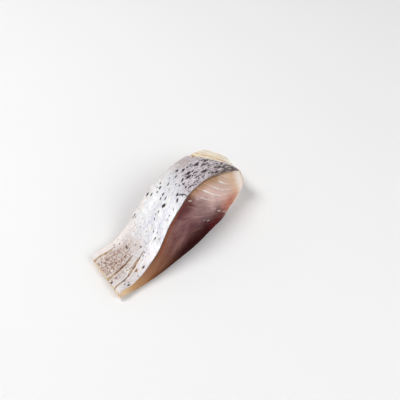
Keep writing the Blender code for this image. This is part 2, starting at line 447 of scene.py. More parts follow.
class Shape:
    """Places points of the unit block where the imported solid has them."""

    FAR_NOSE_SHARE = 0.40
    CROWN = 0.7 * MM
    CUT_BULGE = 0.6 * MM
    NOSE_BULGE = 1.2 * MM
    BELLY_LIFT = 1.1 * MM
    CORNER_ROUNDING = 2.6 * MM
    SKIN_TIP = 1.7 * MM
    SKIN_WAVE = 0.30 * MM
    BELLY_TUCK = 1.5 * MM
    CUT_WAVE = 0.45 * MM
    BOW_REACH = 1.15
    # Sweep line of one septum in mm, and how far the septa of the far cut lie from it
    FIRST_SEPTUM = 73.2
    FAR_SEPTA_SHIFT = 1.9

    def __init__(self, sizes):
        self.sizes = sizes
        self.shift = Vector((0, 0, 0))
        raw = self.place(np.zeros(1), np.zeros(1), np.zeros(1))[0]
        self.shift = belly_corner() - Vector(raw)

    def length(self, v):
        return mix(self.sizes.near_length, self.sizes.far_length, v)

    def skin_height(self, u, v):
        line = mix(along(NEAR_SKIN_LINE, u), along(FAR_SKIN_LINE, u), v)
        crown = self.CROWN * (1 - (2 * v - 1) ** 2) * smooth(0.1, 0.4, u)
        x = u * self.sizes.near_length
        y = v * self.sizes.width
        uneven = waves(x, y, 9 * MM, 3.1) + 0.4 * waves(x, y, 3.5 * MM, 7.7)
        return self.sizes.thickness * line + crown + self.SKIN_WAVE * uneven

    def base_height(self, u, v):
        share = np.maximum(0, along(UNDERSIDE_LINE, u)) * mix(1, self.FAR_NOSE_SHARE, v)
        return self.sizes.thickness * share

    def tallness(self, u, v):
        return self.skin_height(u, v) - self.base_height(u, v)

    def place(self, u, v, w, sink=0.0):
        """Metres in the frame, as rows; sink lowers the top side by that much."""
        s = self.sizes
        lift = self.BELLY_LIFT * (1 - smooth(0.0, 0.15, u)) * mix(1, 0.4, v)
        z = mix(self.base_height(u, v), self.skin_height(u, v) - sink, w) + lift
        nose = self.NOSE_BULGE * smooth(0.86, 1.0, u) * (1 - (2 * w - 1) ** 2)
        corner = self.CORNER_ROUNDING * smooth(0.90, 1.0, u) * smooth(0.72, 1.0, v)
        tip = self.SKIN_TIP * smooth(0.93, 1.0, u) * w**4 * (1 - smooth(0.0, 0.3, v))
        x = v * s.far_shift + u * self.length(v) + nose - corner + tip
        slump = self.CUT_BULGE * np.sin(math.pi * np.clip(w, 0, 1)) * smooth(0.05, 0.4, u)
        slant = np.tan(mix(s.near_slant, s.far_slant, v))
        bow = s.bow * np.maximum(0.0, np.sin(math.pi * self.BOW_REACH * u)) ** 0.8
        y = v * s.width + z * slant - bow - mix(slump, -slump, v)
        near = self.CUT_WAVE * waves(x, z, 16 * MM, 11.0) * (1 - smooth(0.0, 0.4, v))
        far = self.CUT_WAVE * waves(x, z, 16 * MM, 12.0) * smooth(0.6, 1.0, v)
        return np.stack([x, y - near + far, z], -1) + np.array(self.shift)

    def sweep(self, u, v, w):
        """(sweep line, height) of each place in mm: a septum keeps to one sweep line."""
        z = mix(self.base_height(u, v), self.skin_height(u, v), w) / MM
        x = u * self.length(v) / MM
        return x + sweep_shift(z) - self.FAR_SEPTA_SHIFT * v, z

    def on_cut(self, sweep, z, v):
        """(u, w) of a place of a cut on this sweep line, at the height z in mm."""
        u = (sweep - sweep_shift(z) + self.FAR_SEPTA_SHIFT * v) * MM / self.length(v)
        return u, (z * MM - self.base_height(u, v)) / self.tallness(u, v)


def belly_corner():
    """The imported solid's lowest point at its near belly corner."""
    points = [vert.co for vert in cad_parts[NODE].data.vertices]
    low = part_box(NODE)[0]
    return min((p for p in points if p.x < low.x + 1e-5), key=lambda p: (round(p.y, 6), p.z))


def levels(count, crowding):
    """count + 1 levels from 0 to 1, closer together towards both ends."""
    t = np.linspace(0, 1, count + 1)
    return t - crowding * np.sin(2 * math.pi * t) / (2 * math.pi)


def block_grid(us, vs, ws):
    """(u, v, w, quads, side) of the surface of a block cut at these levels; side numbers each quad."""
    shape = (len(us), len(vs), len(ws))
    outer = np.zeros(shape, bool)
    for axis in range(3):
        ends = [slice(None)] * 3
        ends[axis] = [0, -1]
        outer[tuple(ends)] = True
    index = np.full(shape, -1)
    index[outer] = np.arange(outer.sum())
    i, j, k = np.nonzero(outer)
    sides = (
        (index[:, :, -1], False),
        (index[:, :, 0], True),
        (index[:, 0, :], False),
        (index[:, -1, :], True),
        (index[0], True),
        (index[-1], False),
    )
    quads, side = [], []
    for number, (a, flipped) in enumerate(sides):
        corners = np.stack([a[:-1, :-1], a[1:, :-1], a[1:, 1:], a[:-1, 1:]], -1).reshape(-1, 4)
        quads.append(corners[:, ::-1] if flipped else corners)
        side.append(np.full(len(corners), number))
    return us[i], vs[j], ws[k], np.concatenate(quads), np.concatenate(side)


def mesh_from(name, points, quads, fields):
    """A smooth-shaded mesh with one float attribute for each field."""
    mesh = bpy.data.meshes.new(name)
    mesh.from_pydata(points.tolist(), [], quads.tolist())
    for field, values in fields.items():
        attribute = mesh.attributes.new(field, "FLOAT", "POINT")
        attribute.data.foreach_set("value", np.asarray(values, np.float32))
    mesh.shade_smooth()
    return mesh


def add_piece(name, mesh, materials=()):
    """Adds a finished piece that rides on the slice's body."""
    piece = bpy.data.objects.new(name, mesh)
    bpy.context.scene.collection.objects.link(piece)
    for material in materials:
        mesh.materials.append(material)
    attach(piece, BODY)
    return piece


class Wire:
    """A node's socket that takes part in arithmetic: each operator adds its Math node."""

    def __init__(self, board, socket):
        self.board = board
        self.socket = socket

    def maths(self, operation, *values):
        inputs = dict(enumerate(values))
        return self.board.node("ShaderNodeMath", {"operation": operation}, inputs)

    def __add__(self, other):
        return self.maths("ADD", self, other)

    def __radd__(self, other):
        return self.maths("ADD", other, self)

    def __sub__(self, other):
        return self.maths("SUBTRACT", self, other)

    def __rsub__(self, other):
        return self.maths("SUBTRACT", other, self)

    def __mul__(self, other):
        return self.maths("MULTIPLY", self, other)

    def __rmul__(self, other):
        return self.maths("MULTIPLY", other, self)

    def __truediv__(self, other):
        return self.maths("DIVIDE", self, other)

    def __pow__(self, other):
        return self.maths("POWER", self, other)

    def __abs__(self):
        return self.maths("ABSOLUTE", self)

    def larger(self, other):
        return self.maths("MAXIMUM", self, other)

    def fraction(self):
        return self.maths("FRACT", self)

    def rise(self, low, high):
        """0 below low and 1 above high, or the other way round where low is the larger."""
        settings = {"interpolation_type": "SMOOTHSTEP"}
        return self.board.node("ShaderNodeMapRange", settings, {0: self, 1: low, 2: high})

    def band(self, low, high, soft):
        """1 between low and high, with soft edges."""
        return self.rise(low - soft, low + soft) * self.rise(high + soft, high - soft)


class Board:
    """Adds nodes to one tree, of a material or of Geometry Nodes."""

    def __init__(self, tree):
        self.tree = tree
        self.colour = None

    def node(self, kind, settings=None, inputs=None, out=0):
        """Adds a node: its settings come first, then the values or links of its sockets."""
        made = self.tree.nodes.new(kind)
        for name, value in (settings or {}).items():
            if name == "stops":
                set_stops(made.color_ramp, value)
            else:
                setattr(made, name, value)
        for key, value in (inputs or {}).items():
            if isinstance(value, Wire):
                self.tree.links.new(value.socket, made.inputs[key])
            else:
                made.inputs[key].default_value = value
        return Wire(self, made.outputs[out]) if len(made.outputs) else made

    def field(self, name):
        """A float attribute of the piece."""
        return self.node("ShaderNodeAttribute", {"attribute_name": name}, out="Fac")

    def object_place(self):
        return self.node("ShaderNodeTexCoord", out="Object")

    def spot(self, x, y, z=0.0):
        return self.node("ShaderNodeCombineXYZ", inputs={0: x, 1: y, 2: z})

    def cloud(self, where, scale, detail=2.0, roughness=0.5):
        """Noise about 0.5 at this place, its scale in waves for each unit of the place."""
        inputs = {"Vector": where, "Scale": scale, "Detail": detail, "Roughness": roughness}
        return self.node("ShaderNodeTexNoise", inputs=inputs)

    def pattern(self, x, y, z=0.0, detail=3.0, roughness=0.5):
        """Noise about 0.5 at this place."""
        return self.cloud(self.spot(x, y, z), 1.0, detail, roughness)

    def cells(self, where, scale, feature="F1"):
        settings = {"feature": feature}
        return self.node("ShaderNodeTexVoronoi", settings, {"Vector": where, "Scale": scale})

    def blend(self, share, a, b, mode="MIX"):
        """Colour a, or colour b where share is 1."""
        settings = {"data_type": "RGBA", "blend_type": mode}
        return self.node("ShaderNodeMix", settings, {0: share, 6: a, 7: b}, out=2)

    def layer(self, share, colour):
        """Paints a colour over the board's colour so far, where share is 1."""
        self.colour = self.blend(share, self.colour, colour)

    def shaded(self, colour, tone):
        """A colour made lighter or darker by a tone about 1."""
        grey = self.node("ShaderNodeCombineColor", inputs={0: tone, 1: tone, 2: tone})
        return self.blend(1.0, colour, grey, "MULTIPLY")

    def ramp(self, share, stops):
        """Colours along a share: stops are (position, colour)."""
        return self.node("ShaderNodeValToRGB", {"stops": stops}, {0: share})

    def bump(self, height, strength, distance, normal=None):
        inputs = {"Height": height, "Strength": strength, "Distance": distance}
        if normal is not None:
            inputs["Normal"] = normal
        return self.node("ShaderNodeBump", inputs=inputs)


def set_stops(ramp, stops):
    while len(ramp.elements) > 1:
        ramp.elements.remove(ramp.elements[-1])
    ramp.elements[0].position = stops[0][0]
    ramp.elements[0].color = full(stops[0][1])
    for position, colour in stops[1:]:
        ramp.elements.new(position).color = full(colour)


def full(colour):
    """A colour with its alpha."""
    return (*tuple(colour)[:3], 1.0)


def srgb(*shown):
    """A colour with its alpha, from the sRGB bytes that it shows as."""
    return full(linear(shown))


def mixed(a, b, share):
    """A colour between two colours."""
    return tuple(mix(x, y, share) for x, y in zip(tuple(a)[:3], tuple(b)[:3]))


def new_material(name, board_type=Board):
    """(material, board) with a bare tree."""
    material = bpy.data.materials.new(name)
    material.use_nodes = True
    material.node_tree.nodes.clear()
    return material, board_type(material.node_tree)


def finish_material(board, **sockets):
    """Adds the shader with these sockets and the output."""
    inputs = {name.replace("_", " "): value for name, value in sockets.items()}
    shader = board.node("ShaderNodeBsdfPrincipled", inputs=inputs)
    board.node("ShaderNodeOutputMaterial", inputs={"Surface": shader})


class FleshBoard(Board):
    """The flesh's tree, with its fields and the patterns that several of its colours share."""

    def __init__(self, tree):
        super().__init__(tree)
        self.u = self.field("along")
        self.w = self.field("up")
        self.depth = self.field("depth_mm")
        self.sweep = self.field("sweep_mm")
        self.rise = self.field("rise_mm")
        height = self.field("height_mm")
        here = self.object_place()
        self.grain = self.pattern(self.sweep * 1.3, height * 0.34, roughness=0.55)
        self.streaks = self.pattern(self.u * 11.0, height * 0.62 + self.u * 14.0, 4.0)
        self.fibres = self.pattern(self.sweep * 0.85, height * 0.12, 7.0)
        self.soft = self.pattern(self.u * 4.5, self.depth * 0.26, 11.0)
        self.fine = self.cloud(here, 1000.0, 3.0, 0.6)
        self.patches = self.cloud(here, 130.0, 3.0, 0.55)
        self.mottled = self.cloud(here, 320.0, 3.0, 0.6)
        self.ragged = (self.patches - 0.5) * 0.18 + (self.streaks - 0.5) * 0.03
        self.wander = (self.patches - 0.5) * 1.1
        self.back = self.u.rise(0.54, 0.74)
        self.end = self.u.rise(0.985, 0.998)
        self.front = self.u.rise(0.030, 0.004)
        self.calm = (1.0 - self.back * 0.80) * self.u.rise(0.16, 0.34)
        # The bottom of the cut's middle darkens: partly a blood stain and partly painted shadow
        deep_shade = (self.w + self.ragged * 1.2 + self.u * 0.10).rise(0.56, 0.16)
        self.stain_and_shade = (self.u + self.ragged).band(0.355, 0.80, 0.10) * deep_shade


def paint_zones(flesh, look):
    """The broad colours of a cut, from the belly to the back, with a painted sheen on the upper middle and
    painted shade along the bottom.
    """
    u, w, ragged = flesh.u, flesh.w, flesh.ragged
    leaning = u - 0.30 * (1.0 - w) * u.rise(0.30, 0.70) + ragged * 0.5
    stops = (
        (0.00, linear((236, 216, 188))),
        (0.04, linear((228, 198, 158))),
        (0.11, look.ochre),
        (0.21, look.brown),
        (0.32, mixed(look.brown, look.mauve, 0.6)),
        (0.44, look.mauve),
        (0.55, mixed(look.mauve, look.rose, 0.34)),
        (0.66, look.rose),
        (0.78, mixed(look.rose, look.cream, 0.7)),
        (0.90, look.cream),
    )
    flesh.colour = flesh.ramp(leaning, stops)
    peach = (u + ragged * 0.7).band(0.79, 0.96, 0.09) * (w + ragged * 0.8).band(0.04, 0.37, 0.17)
    flesh.layer(peach * 0.93, srgb(182, 106, 80))
    # Paler pinkish top in the middle of the cut: a painted sheen of light on the wet flesh
    upper_sheen = (w + ragged).rise(0.45, 0.75) * u.band(0.32, 0.60, 0.08)
    flesh.layer(upper_sheen * 0.55, srgb(154, 114, 112))
    # Dark brown along the bottom towards the belly: painted shade
    lower_shade = (w + ragged).rise(0.42, 0.10) * (u + ragged).band(0.20, 0.40, 0.05)
    flesh.layer(lower_shade * 0.78, srgb(86, 44, 20))
    muscle = (u + ragged).band(0.46, 0.63, 0.05) * (w + ragged + u * 0.9 - 0.5).rise(0.66, 0.84)
    flesh.layer(muscle * 0.90, full(look.red_muscle))
    # Blood-dark bottom of the middle: partly a stain and partly painted shadow
    flesh.layer(flesh.stain_and_shade * 0.94, full(look.blood_and_shade))
    # Dark wine-red along the bottom of the back half: partly the flesh's own colour and partly painted
    # shade
    wine_and_shade = (u + ragged).band(0.66, 0.84, 0.06) * (w + ragged * 1.2).rise(0.34, 0.10)
    flesh.layer(wine_and_shade * 0.75, srgb(96, 36, 38))


def paint_fibres(flesh):
    """Soft streaks along the skin in the middle, and streaks of fibre along the septa."""
    u, w, soft = flesh.u, flesh.w, flesh.soft
    middle = (u + flesh.ragged * 0.5).band(0.18, 0.52, 0.08) * (1.0 - flesh.stain_and_shade)
    middle = middle * flesh.depth.rise(1.5, 4.5).larger(u.rise(0.42, 0.34)) * w.rise(0.06, 0.34)
    flesh.layer(soft.rise(0.48, 0.60) * middle * 0.28, srgb(168, 128, 118))
    flesh.layer(soft.rise(0.50, 0.36) * middle * 0.36, srgb(92, 52, 50))
    fibre = flesh.fibres.rise(0.50, 0.66) * u.band(0.54, 0.84, 0.08) * w.rise(0.16, 0.40)
    flesh.layer(fibre * 0.26, srgb(206, 160, 148))
    vein = flesh.streaks.rise(0.46, 0.34) * u.band(0.40, 0.66, 0.06) * w.rise(0.40, 0.70)
    flesh.layer(vein * 0.55, srgb(92, 44, 46))


def paint_under_skin(flesh):
    """Fat and dark muscle right under the skin."""
    u, depth, ragged, wander = flesh.u, flesh.depth, flesh.ragged, flesh.wander
    glow = (depth + wander * 1.5).band(0.8, 4.2, 1.2) * (u + ragged).band(0.22, 0.42, 0.08)
    flesh.layer(glow * 0.26, srgb(150, 96, 66))
    fat_line = (depth + wander * 1.2).band(0.62, 1.62, 0.45) * (u + ragged * 0.6).band(0.27, 0.52, 0.07)
    flesh.layer(fat_line * (0.60 + flesh.soft.rise(0.60, 0.44) * 0.35), srgb(148, 72, 32))
    ochre_line = (depth + wander * 1.6).rise(4.2, 1.0) * (u + ragged).band(0.61, 0.84, 0.06)
    flesh.layer(ochre_line * 0.72, srgb(172, 126, 74))
    cream_line = (depth + wander).rise(1.6, 0.5) * u.band(0.84, 0.97, 0.04)
    flesh.layer(cream_line * 0.55, srgb(204, 176, 150))
    seam = (depth + wander * 0.4).rise(1.05, 0.50) * u.rise(0.14, 0.34) * u.rise(0.99, 0.90)
    flesh.layer(seam * 0.70, srgb(112, 84, 68))


def paint_thin_septa(flesh, look):
    """Septa too thin to be threads of their own, and the tone of the flakes between them."""
    back, patches, clean = flesh.back, flesh.patches, 1.0 - flesh.stain_and_shade
    turn = (flesh.sweep - Shape.FIRST_SEPTUM) * (MM / look.flake_step) + 100.5
    off_line = abs(turn.fraction() - 0.5)
    line = off_line.rise(0.055, 0.014) * (0.30 + 0.70 * patches.rise(0.38, 0.58)) * clean
    flesh.layer(line * back * (0.26 + 0.22 * flesh.w.rise(0.30, 0.70)), srgb(246, 222, 204))
    hairs = abs((turn * 3.0 + 0.5).fraction() - 0.5).rise(0.06, 0.02) * patches.rise(0.52, 0.64)
    flesh.layer(hairs * back * clean * 0.12, srgb(244, 214, 196))

    tone = 1.0 + (flesh.grain - 0.5) * 0.34 * flesh.calm + (flesh.fine - 0.5) * 0.10
    tone = tone + (patches - 0.5) * 0.36 + (flesh.streaks - 0.5) * 0.30 * flesh.calm
    # Each flake starts light at its septum and darkens towards the next one
    tone = tone + (0.5 - (turn + 0.5).fraction()) * 0.16 * back
    flesh.colour = flesh.shaded(flesh.colour, tone)


def paint_back_end(flesh):
    """Layers on the end face at the back, and the pale rim that leads to it: partly the pale edge of the
    flesh and partly a painted highlight on its rounded edges.
    """
    u, w, end, mottled = flesh.u, flesh.w, flesh.end, flesh.mottled
    width = flesh.field("across") * ACROSS_MM
    place = flesh.spot(width * 0.16, flesh.rise * 0.75 + width * 0.05, 15.0)
    layers = flesh.cloud(place, 1.0, 4.0, 0.60)
    flesh.layer(end * layers.rise(0.44, 0.66) * 0.60, srgb(212, 166, 152))
    flesh.layer(end * layers.rise(0.50, 0.34) * 0.45, srgb(246, 230, 212))
    flesh.layer(end * mottled.rise(0.46, 0.70) * 0.25, srgb(222, 186, 160))
    flesh.layer(end * w.rise(0.46, 0.10) * 0.45, srgb(186, 126, 116))
    flesh.layer(end * w.rise(0.80, 0.96) * 0.45, srgb(236, 216, 184))
    past_rim = u + flesh.ragged * 0.16 - abs(w - 0.6) * 0.02
    gold = past_rim.band(0.905, 0.965, 0.030) * u.rise(0.992, 0.984)
    flesh.layer(gold * 0.45, srgb(228, 190, 150))
    # The pale rim along the back end and along the bottom of the cut is partly the flesh's pale edge and
    # partly a painted highlight on the rounded edges
    rim = past_rim.rise(0.928, 0.972) * u.rise(0.994, 0.988)
    low_rim_highlight = (flesh.rise + flesh.wander * 0.3).rise(1.25, 0.65) * u.rise(0.76, 0.88)
    flesh.layer(rim.larger(low_rim_highlight) * 0.86, srgb(251, 238, 228))


def paint_belly_end(flesh):
    """Raw flesh inside the belly slits, and the thin cut edge of the belly."""
    w, front, mottled = flesh.w, flesh.front, flesh.mottled
    raw = flesh.blend(mottled.rise(0.42, 0.56), srgb(208, 186, 160), srgb(140, 100, 78))
    raw = flesh.blend(flesh.fine.rise(0.52, 0.62) * 0.75, raw, srgb(92, 54, 48))
    flesh.layer(flesh.field("slit") * 0.92, raw)
    flesh.layer(front * mottled.rise(0.38, 0.58) * 0.45, srgb(214, 184, 154))
    flesh.layer(front * w.rise(0.60, 0.10) * 0.35, srgb(186, 144, 122))
    core = w.band(0.22, 0.78, 0.20) * flesh.patches.rise(0.40, 0.58) * front
    flesh.layer(core * 0.60, srgb(212, 170, 156))


def flesh_material(look):
    """Moist flesh: its colours run from the belly to the back, with flakes between septa."""
    material, flesh = new_material("salted_flesh", FleshBoard)
    paint_zones(flesh, look)
    paint_fibres(flesh)
    paint_under_skin(flesh)
    paint_thin_septa(flesh, look)
    paint_back_end(flesh)
    paint_belly_end(flesh)
    rough_ends = flesh.mottled * (flesh.end + flesh.front)
    relief = flesh.bump(flesh.grain * flesh.calm + rough_ends, 0.35, 0.20 * MM)
    wet = 0.22 + flesh.back * 0.50 + (flesh.patches - 0.5) * 0.7
    finish_material(
        flesh,
        Base_Color=flesh.colour,
        Roughness=0.30 + (flesh.grain - 0.5) * 0.30,
        Coat_Weight=wet * (1.0 - flesh.stain_and_shade),
        Coat_Roughness=0.10,
        Coat_IOR=BRINE_FILM_IOR,
        Specular_IOR_Level=0.0,
        IOR=1.38,
        Subsurface_Weight=0.35,
        Subsurface_Radius=(1.0, 0.42, 0.28),
        Subsurface_Scale=0.0012,
        Normal=flesh.bump(flesh.fine, 0.25, 0.08 * MM, relief),
    )
    return material


def fat_material():
    """The bare trimmed edge of the back: cream strands with thin brown lines between them."""
    material, fat = new_material("back_fat")
    here = fat.object_place()
    strand = fat.field("strand")
    across = fat.field("across")
    past = fat.field("past_mm")
    patches = fat.cloud(here, 240.0, 3.0, 0.6)
    fine = fat.cloud(here, 1100.0, 3.0, 0.6)
    bend = fat.cloud(fat.spot(strand * 0.9, across * 2.2), 1.0, 2.0, 0.45)
    thin = fat.pattern(strand * 3.2, across * 7.0, roughness=0.6)
    fat.colour = fat.blend(thin.rise(0.42, 0.62) * 0.7, srgb(250, 236, 210), srgb(255, 251, 240))
    fat.layer(patches.rise(0.50, 0.70) * 0.20, srgb(236, 208, 168))

    # Brown lines lie between the strands, closest together where the skin ends
    strands = strand + (bend - 0.5) * 1.5
    off_line = abs((strands + 0.5).fraction() - 0.5)
    gathered = 0.42 + 0.58 * (past + (patches - 0.5) * 3.0).rise(5.2, 2.2)
    line = (off_line + (thin - 0.5) * 0.26).rise(0.34, 0.10) * (0.35 + 0.65 * patches.rise(0.36, 0.50))
    fat.layer(line * gathered * 0.90, srgb(212, 168, 112))
    core = (off_line + (fine - 0.5) * 0.10).rise(0.16, 0.04) * bend.rise(0.42, 0.54)
    fat.layer(core * gathered * 0.80, srgb(158, 110, 68))
    golden = patches.rise(0.50, 0.40) * thin.rise(0.46, 0.56)
    fat.layer(golden * 0.22, srgb(226, 186, 128))
    crest = abs(strands.fraction() - 0.5).rise(0.10, 0.02) * thin.rise(0.48, 0.58)
    fat.layer(crest * 0.45, srgb(214, 176, 126))
    edge = (past + (patches - 0.5) * 2.4).rise(1.0, 0.1)
    fat.layer(edge * 0.55, srgb(176, 150, 130))

    relief = fat.bump(off_line, 0.40, 0.40 * MM)
    relief = fat.bump(thin, 0.45, 0.20 * MM, relief)
    finish_material(
        fat,
        Base_Color=fat.shaded(fat.colour, 1.0 + (fine - 0.5) * 0.18),
        Roughness=0.34 + (patches - 0.5) * 0.3,
        Coat_Weight=0.45,
        Coat_Roughness=0.15,
        Coat_IOR=BRINE_FILM_IOR,
        Subsurface_Weight=0.15,
        Subsurface_Radius=(1.0, 0.55, 0.35),
        Subsurface_Scale=0.0005,
        Normal=fat.bump(fine, 0.35, 0.08 * MM, relief),
    )
    return material


class SkinBoard(Board):
    """The skin's tree, with its fields and the patterns that several of its colours share."""

    def __init__(self, tree):
        super().__init__(tree)
        self.u = self.field("along")
        self.v = self.field("across")
        self.opened = self.field("slit")
        self.x, self.y = flat_mm(self.u, self.v)
        self.flat = self.spot(self.x, self.y)
        self.patches = self.cloud(self.flat, 0.15, 3.0, 0.55)
        self.mottle = self.cloud(self.flat, 0.75, 4.0, 0.62)
        self.speckle = self.cloud(self.flat, 2.1, 3.0, 0.65)
        self.fine = self.cloud(self.object_place(), 1500.0, 3.0, 0.6)
        self.grit = self.cloud(self.spot(self.x, self.y, 3.0), 0.95, 4.0, 0.72)
        # Short grey strokes that slant across the flank, and others along the back
        self.strokes = self.cloud(self.slanted(8, 0.42, 1.25), 1.0, 4.0, 0.72)
        self.dashes = self.pattern(self.x * 0.40, self.y * 1.7 - self.x * 0.10, detail=4.0, roughness=0.65)
        self.ragged = (self.patches - 0.5) * 0.14 + (self.mottle - 0.5) * 0.12
        self.back = (self.u + self.ragged * 0.8 - (self.v - 0.4) * 0.05).rise(0.52, 0.66)
        self.belly = (self.u + self.ragged * 0.5).rise(0.34, 0.10)
        from_near = (self.v + self.ragged * 1.6).rise(0.20, 0.50)
        from_far = (self.v + self.ragged * 1.4).rise(0.95, 0.72)
        tan_reach = (self.u + self.ragged * 1.6 + (self.speckle - 0.5) * 0.12).rise(0.30, 0.08)
        self.tan = tan_reach * from_near * from_far

    def slanted(self, degrees, ahead, beside, layer=0.0):
        """A place on the skin on axes turned by this angle, with a scale for each."""
        turn = math.radians(degrees)
        return self.spot(
            (self.x * math.cos(turn) + self.y * math.sin(turn)) * ahead,
            (self.y * math.cos(turn) - self.x * math.sin(turn)) * beside,
            layer,
        )


def paint_flank(skin, look):
    """White and silver flank, with grey strokes, painted white glints, rows across the belly half and
    bluish clouds.
    """
    u, v, mottle, strokes = skin.u, skin.v, skin.mottle, skin.strokes
    skin.colour = skin.blend(skin.patches.rise(0.42, 0.68) * 0.40, full(look.silver), srgb(206, 208, 218))
    skin.layer(mottle.rise(0.50, 0.66) * 0.55, srgb(250, 247, 242))
    skin.layer(skin.speckle.rise(0.47, 0.37) * 0.34, srgb(176, 172, 180))
    stroke = strokes.rise(0.55, 0.62) * (0.20 + 0.80 * mottle.rise(0.42, 0.54)) * (1.0 - skin.back)
    skin.layer(stroke * 0.72, srgb(128, 120, 122))
    rows = skin.cloud(skin.slanted(-58, 0.50, 2.4, 5.0), 1.0, 3.0, 0.6)
    skin.layer(rows.rise(0.50, 0.66) * u.band(0.14, 0.44, 0.08) * 0.26, srgb(158, 150, 150))
    # White glints where the strokes are faint: painted highlights on the silver skin
    skin.layer(strokes.rise(0.44, 0.36) * mottle.rise(0.46, 0.58) * 0.60, srgb(255, 254, 252))
    tint = skin.cloud(skin.flat, 0.30, 2.0, 0.5)
    skin.layer(tint.rise(0.56, 0.70) * 0.30, srgb(204, 202, 228))
    skin.layer(tint.rise(0.44, 0.32) * 0.22, srgb(236, 224, 206))
    far = v.rise(0.50, 0.90) * u.rise(0.66, 0.44)
    skin.layer(far * (0.30 + mottle.rise(0.44, 0.56) * 0.35), srgb(254, 252, 250))
    far_edge = v.rise(0.78, 0.98) * u.band(0.20, 0.80, 0.08)
    hatch = skin.pattern(skin.x * 0.35, skin.y * 3.2, roughness=0.6).rise(0.46, 0.60)
    skin.layer(far_edge * (0.10 + hatch * 0.45), srgb(196, 176, 160))


def paint_back(skin, look):
    """Lilac back with dark dashes, a band of grey and a dark hem along the near cut."""
    u, v, ragged, mottle = skin.u, skin.v, skin.ragged, skin.mottle
    speckle, dashes = skin.speckle, skin.dashes
    lilac = skin.blend(dashes.rise(0.50, 0.60) * 0.90, full(look.back), srgb(100, 90, 100))
    lilac = skin.blend(speckle.rise(0.52, 0.62) * 0.6, lilac, srgb(240, 232, 236))
    skin.layer(skin.back * (0.92 - v.rise(0.68, 0.96) * 0.55), lilac)
    far_back = (u + ragged).band(0.61, 0.78, 0.05) * v.rise(0.66, 0.80)
    skin.layer(far_back * (0.18 + mottle.rise(0.44, 0.58) * 0.5), srgb(178, 152, 144))
    band = (u + ragged).rise(0.66, 0.90) * (v + ragged * 1.2).rise(0.50, 0.12)
    skin.layer(band * (0.30 + speckle.rise(0.60, 0.44) * 0.5), full(look.band))
    hem_width = 0.012 + 0.085 * u.rise(0.74, 0.88)
    fuzz = (mottle - 0.5) * 0.16 + (speckle - 0.5) * 0.14 + (dashes - 0.5) * 0.08
    hem = ((v + fuzz) / hem_width).rise(1.3, 0.5) * u.rise(0.74, 0.85)
    flecked = (speckle + (dashes - 0.5) * 0.8).rise(0.54, 0.62) * (u + ragged).rise(0.72, 0.90)
    skin.layer(flecked * v.rise(0.60, 0.30) * 0.55, srgb(232, 222, 224))
    skin.layer(hem * (0.55 + dashes.rise(0.40, 0.56) * 0.40), srgb(54, 42, 38))


def paint_tip(skin):
    """The dark tip of the back with its pale bars, and the rim where the skin was trimmed."""
    u, v, ragged, mottle, dashes = skin.u, skin.v, skin.ragged, skin.mottle, skin.dashes
    tip = (u - v * 0.35 + ragged * 0.5 + (skin.speckle - 0.5) * 0.10).rise(0.83, 0.92)
    skin.layer(tip * (0.48 + dashes.rise(0.44, 0.54) * 0.50), srgb(64, 38, 26))
    streaked = dashes.rise(0.46, 0.38) * (u + ragged * 0.5).rise(0.80, 0.90) * v.rise(0.50, 0.30)
    skin.layer(streaked * 0.58, srgb(214, 198, 192))
    bars = skin.pattern(skin.x * 0.26, skin.y * 0.80 - skin.x * 0.07, 9.0, roughness=0.6)
    barred = (u + ragged * 0.6).rise(0.74, 0.88) * (v + ragged * 0.6).rise(0.50, 0.26)
    skin.layer(bars.rise(0.53, 0.59) * barred * 0.85, srgb(58, 36, 30))
    skin.layer(bars.rise(0.47, 0.41) * barred * (1.0 - tip * 0.45) * 0.82, srgb(232, 212, 206))
    left = skin.field("left_mm") + (mottle - 0.5) * 5.0 + (dashes - 0.5) * 3.0
    trim = left.rise(2.0, 0.2) * v.rise(0.22, 0.40)
    skin.layer(trim * 0.85, srgb(228, 210, 188))
    skin.layer(trim * dashes.rise(0.50, 0.60) * mottle.rise(0.42, 0.54) * 0.75, srgb(132, 96, 74))


def paint_belly(skin, look):
    """Tan belly, crackled and worn, paler along both cuts."""
    mottle, speckle, tan, belly = skin.mottle, skin.speckle, skin.tan, skin.belly
    clouds = skin.cloud(skin.flat, 0.42, 2.0, 0.5)
    skin.layer(belly * 0.40, srgb(234, 220, 214))
    skin.layer(tan * (0.50 + clouds.rise(0.40, 0.60) * 0.40), full(look.belly))
    skin.layer(mottle.rise(0.46, 0.60) * tan * 0.55, srgb(160, 124, 110))
    skin.layer(mottle.rise(0.46, 0.34) * tan * 0.60, srgb(240, 228, 218))
    purple = skin.cloud(skin.flat, 0.55, 2.0, 0.5).rise(0.54, 0.64)
    skin.layer(purple * tan * 0.35, srgb(158, 122, 122))
    bent = skin.spot(skin.x + (speckle - 0.5) * 1.6, skin.y + (mottle - 0.5) * 2.0)
    cells = skin.cells(bent, 1.25, "DISTANCE_TO_EDGE")
    net = cells.rise(0.20, 0.06) * (0.15 + 0.85 * mottle.rise(0.42, 0.56))
    skin.layer(net * (tan * 0.65 + belly * 0.20), srgb(142, 112, 98))
    heart = cells.rise(0.16, 0.30) * clouds.rise(0.62, 0.42)
    skin.layer(heart * tan * 0.75, srgb(242, 232, 222))
    pale_grit = skin.grit.rise(0.47, 0.40) * (0.15 + 0.85 * tan)
    skin.layer(pale_grit * belly * 0.50, srgb(250, 242, 234))
    crackle = skin.grit.rise(0.52, 0.60) * (0.25 + 0.75 * tan)
    skin.layer(crackle * belly * 0.78, srgb(148, 110, 98))
    far_belly = (skin.v + skin.ragged * 0.8).rise(0.82, 0.92) * belly
    skin.layer(far_belly * 0.55, srgb(253, 242, 235))
    ochre_dust = skin.fine.rise(0.56, 0.66) * mottle.rise(0.46, 0.58) * belly
    skin.layer(ochre_dust * 0.45, srgb(172, 132, 84))


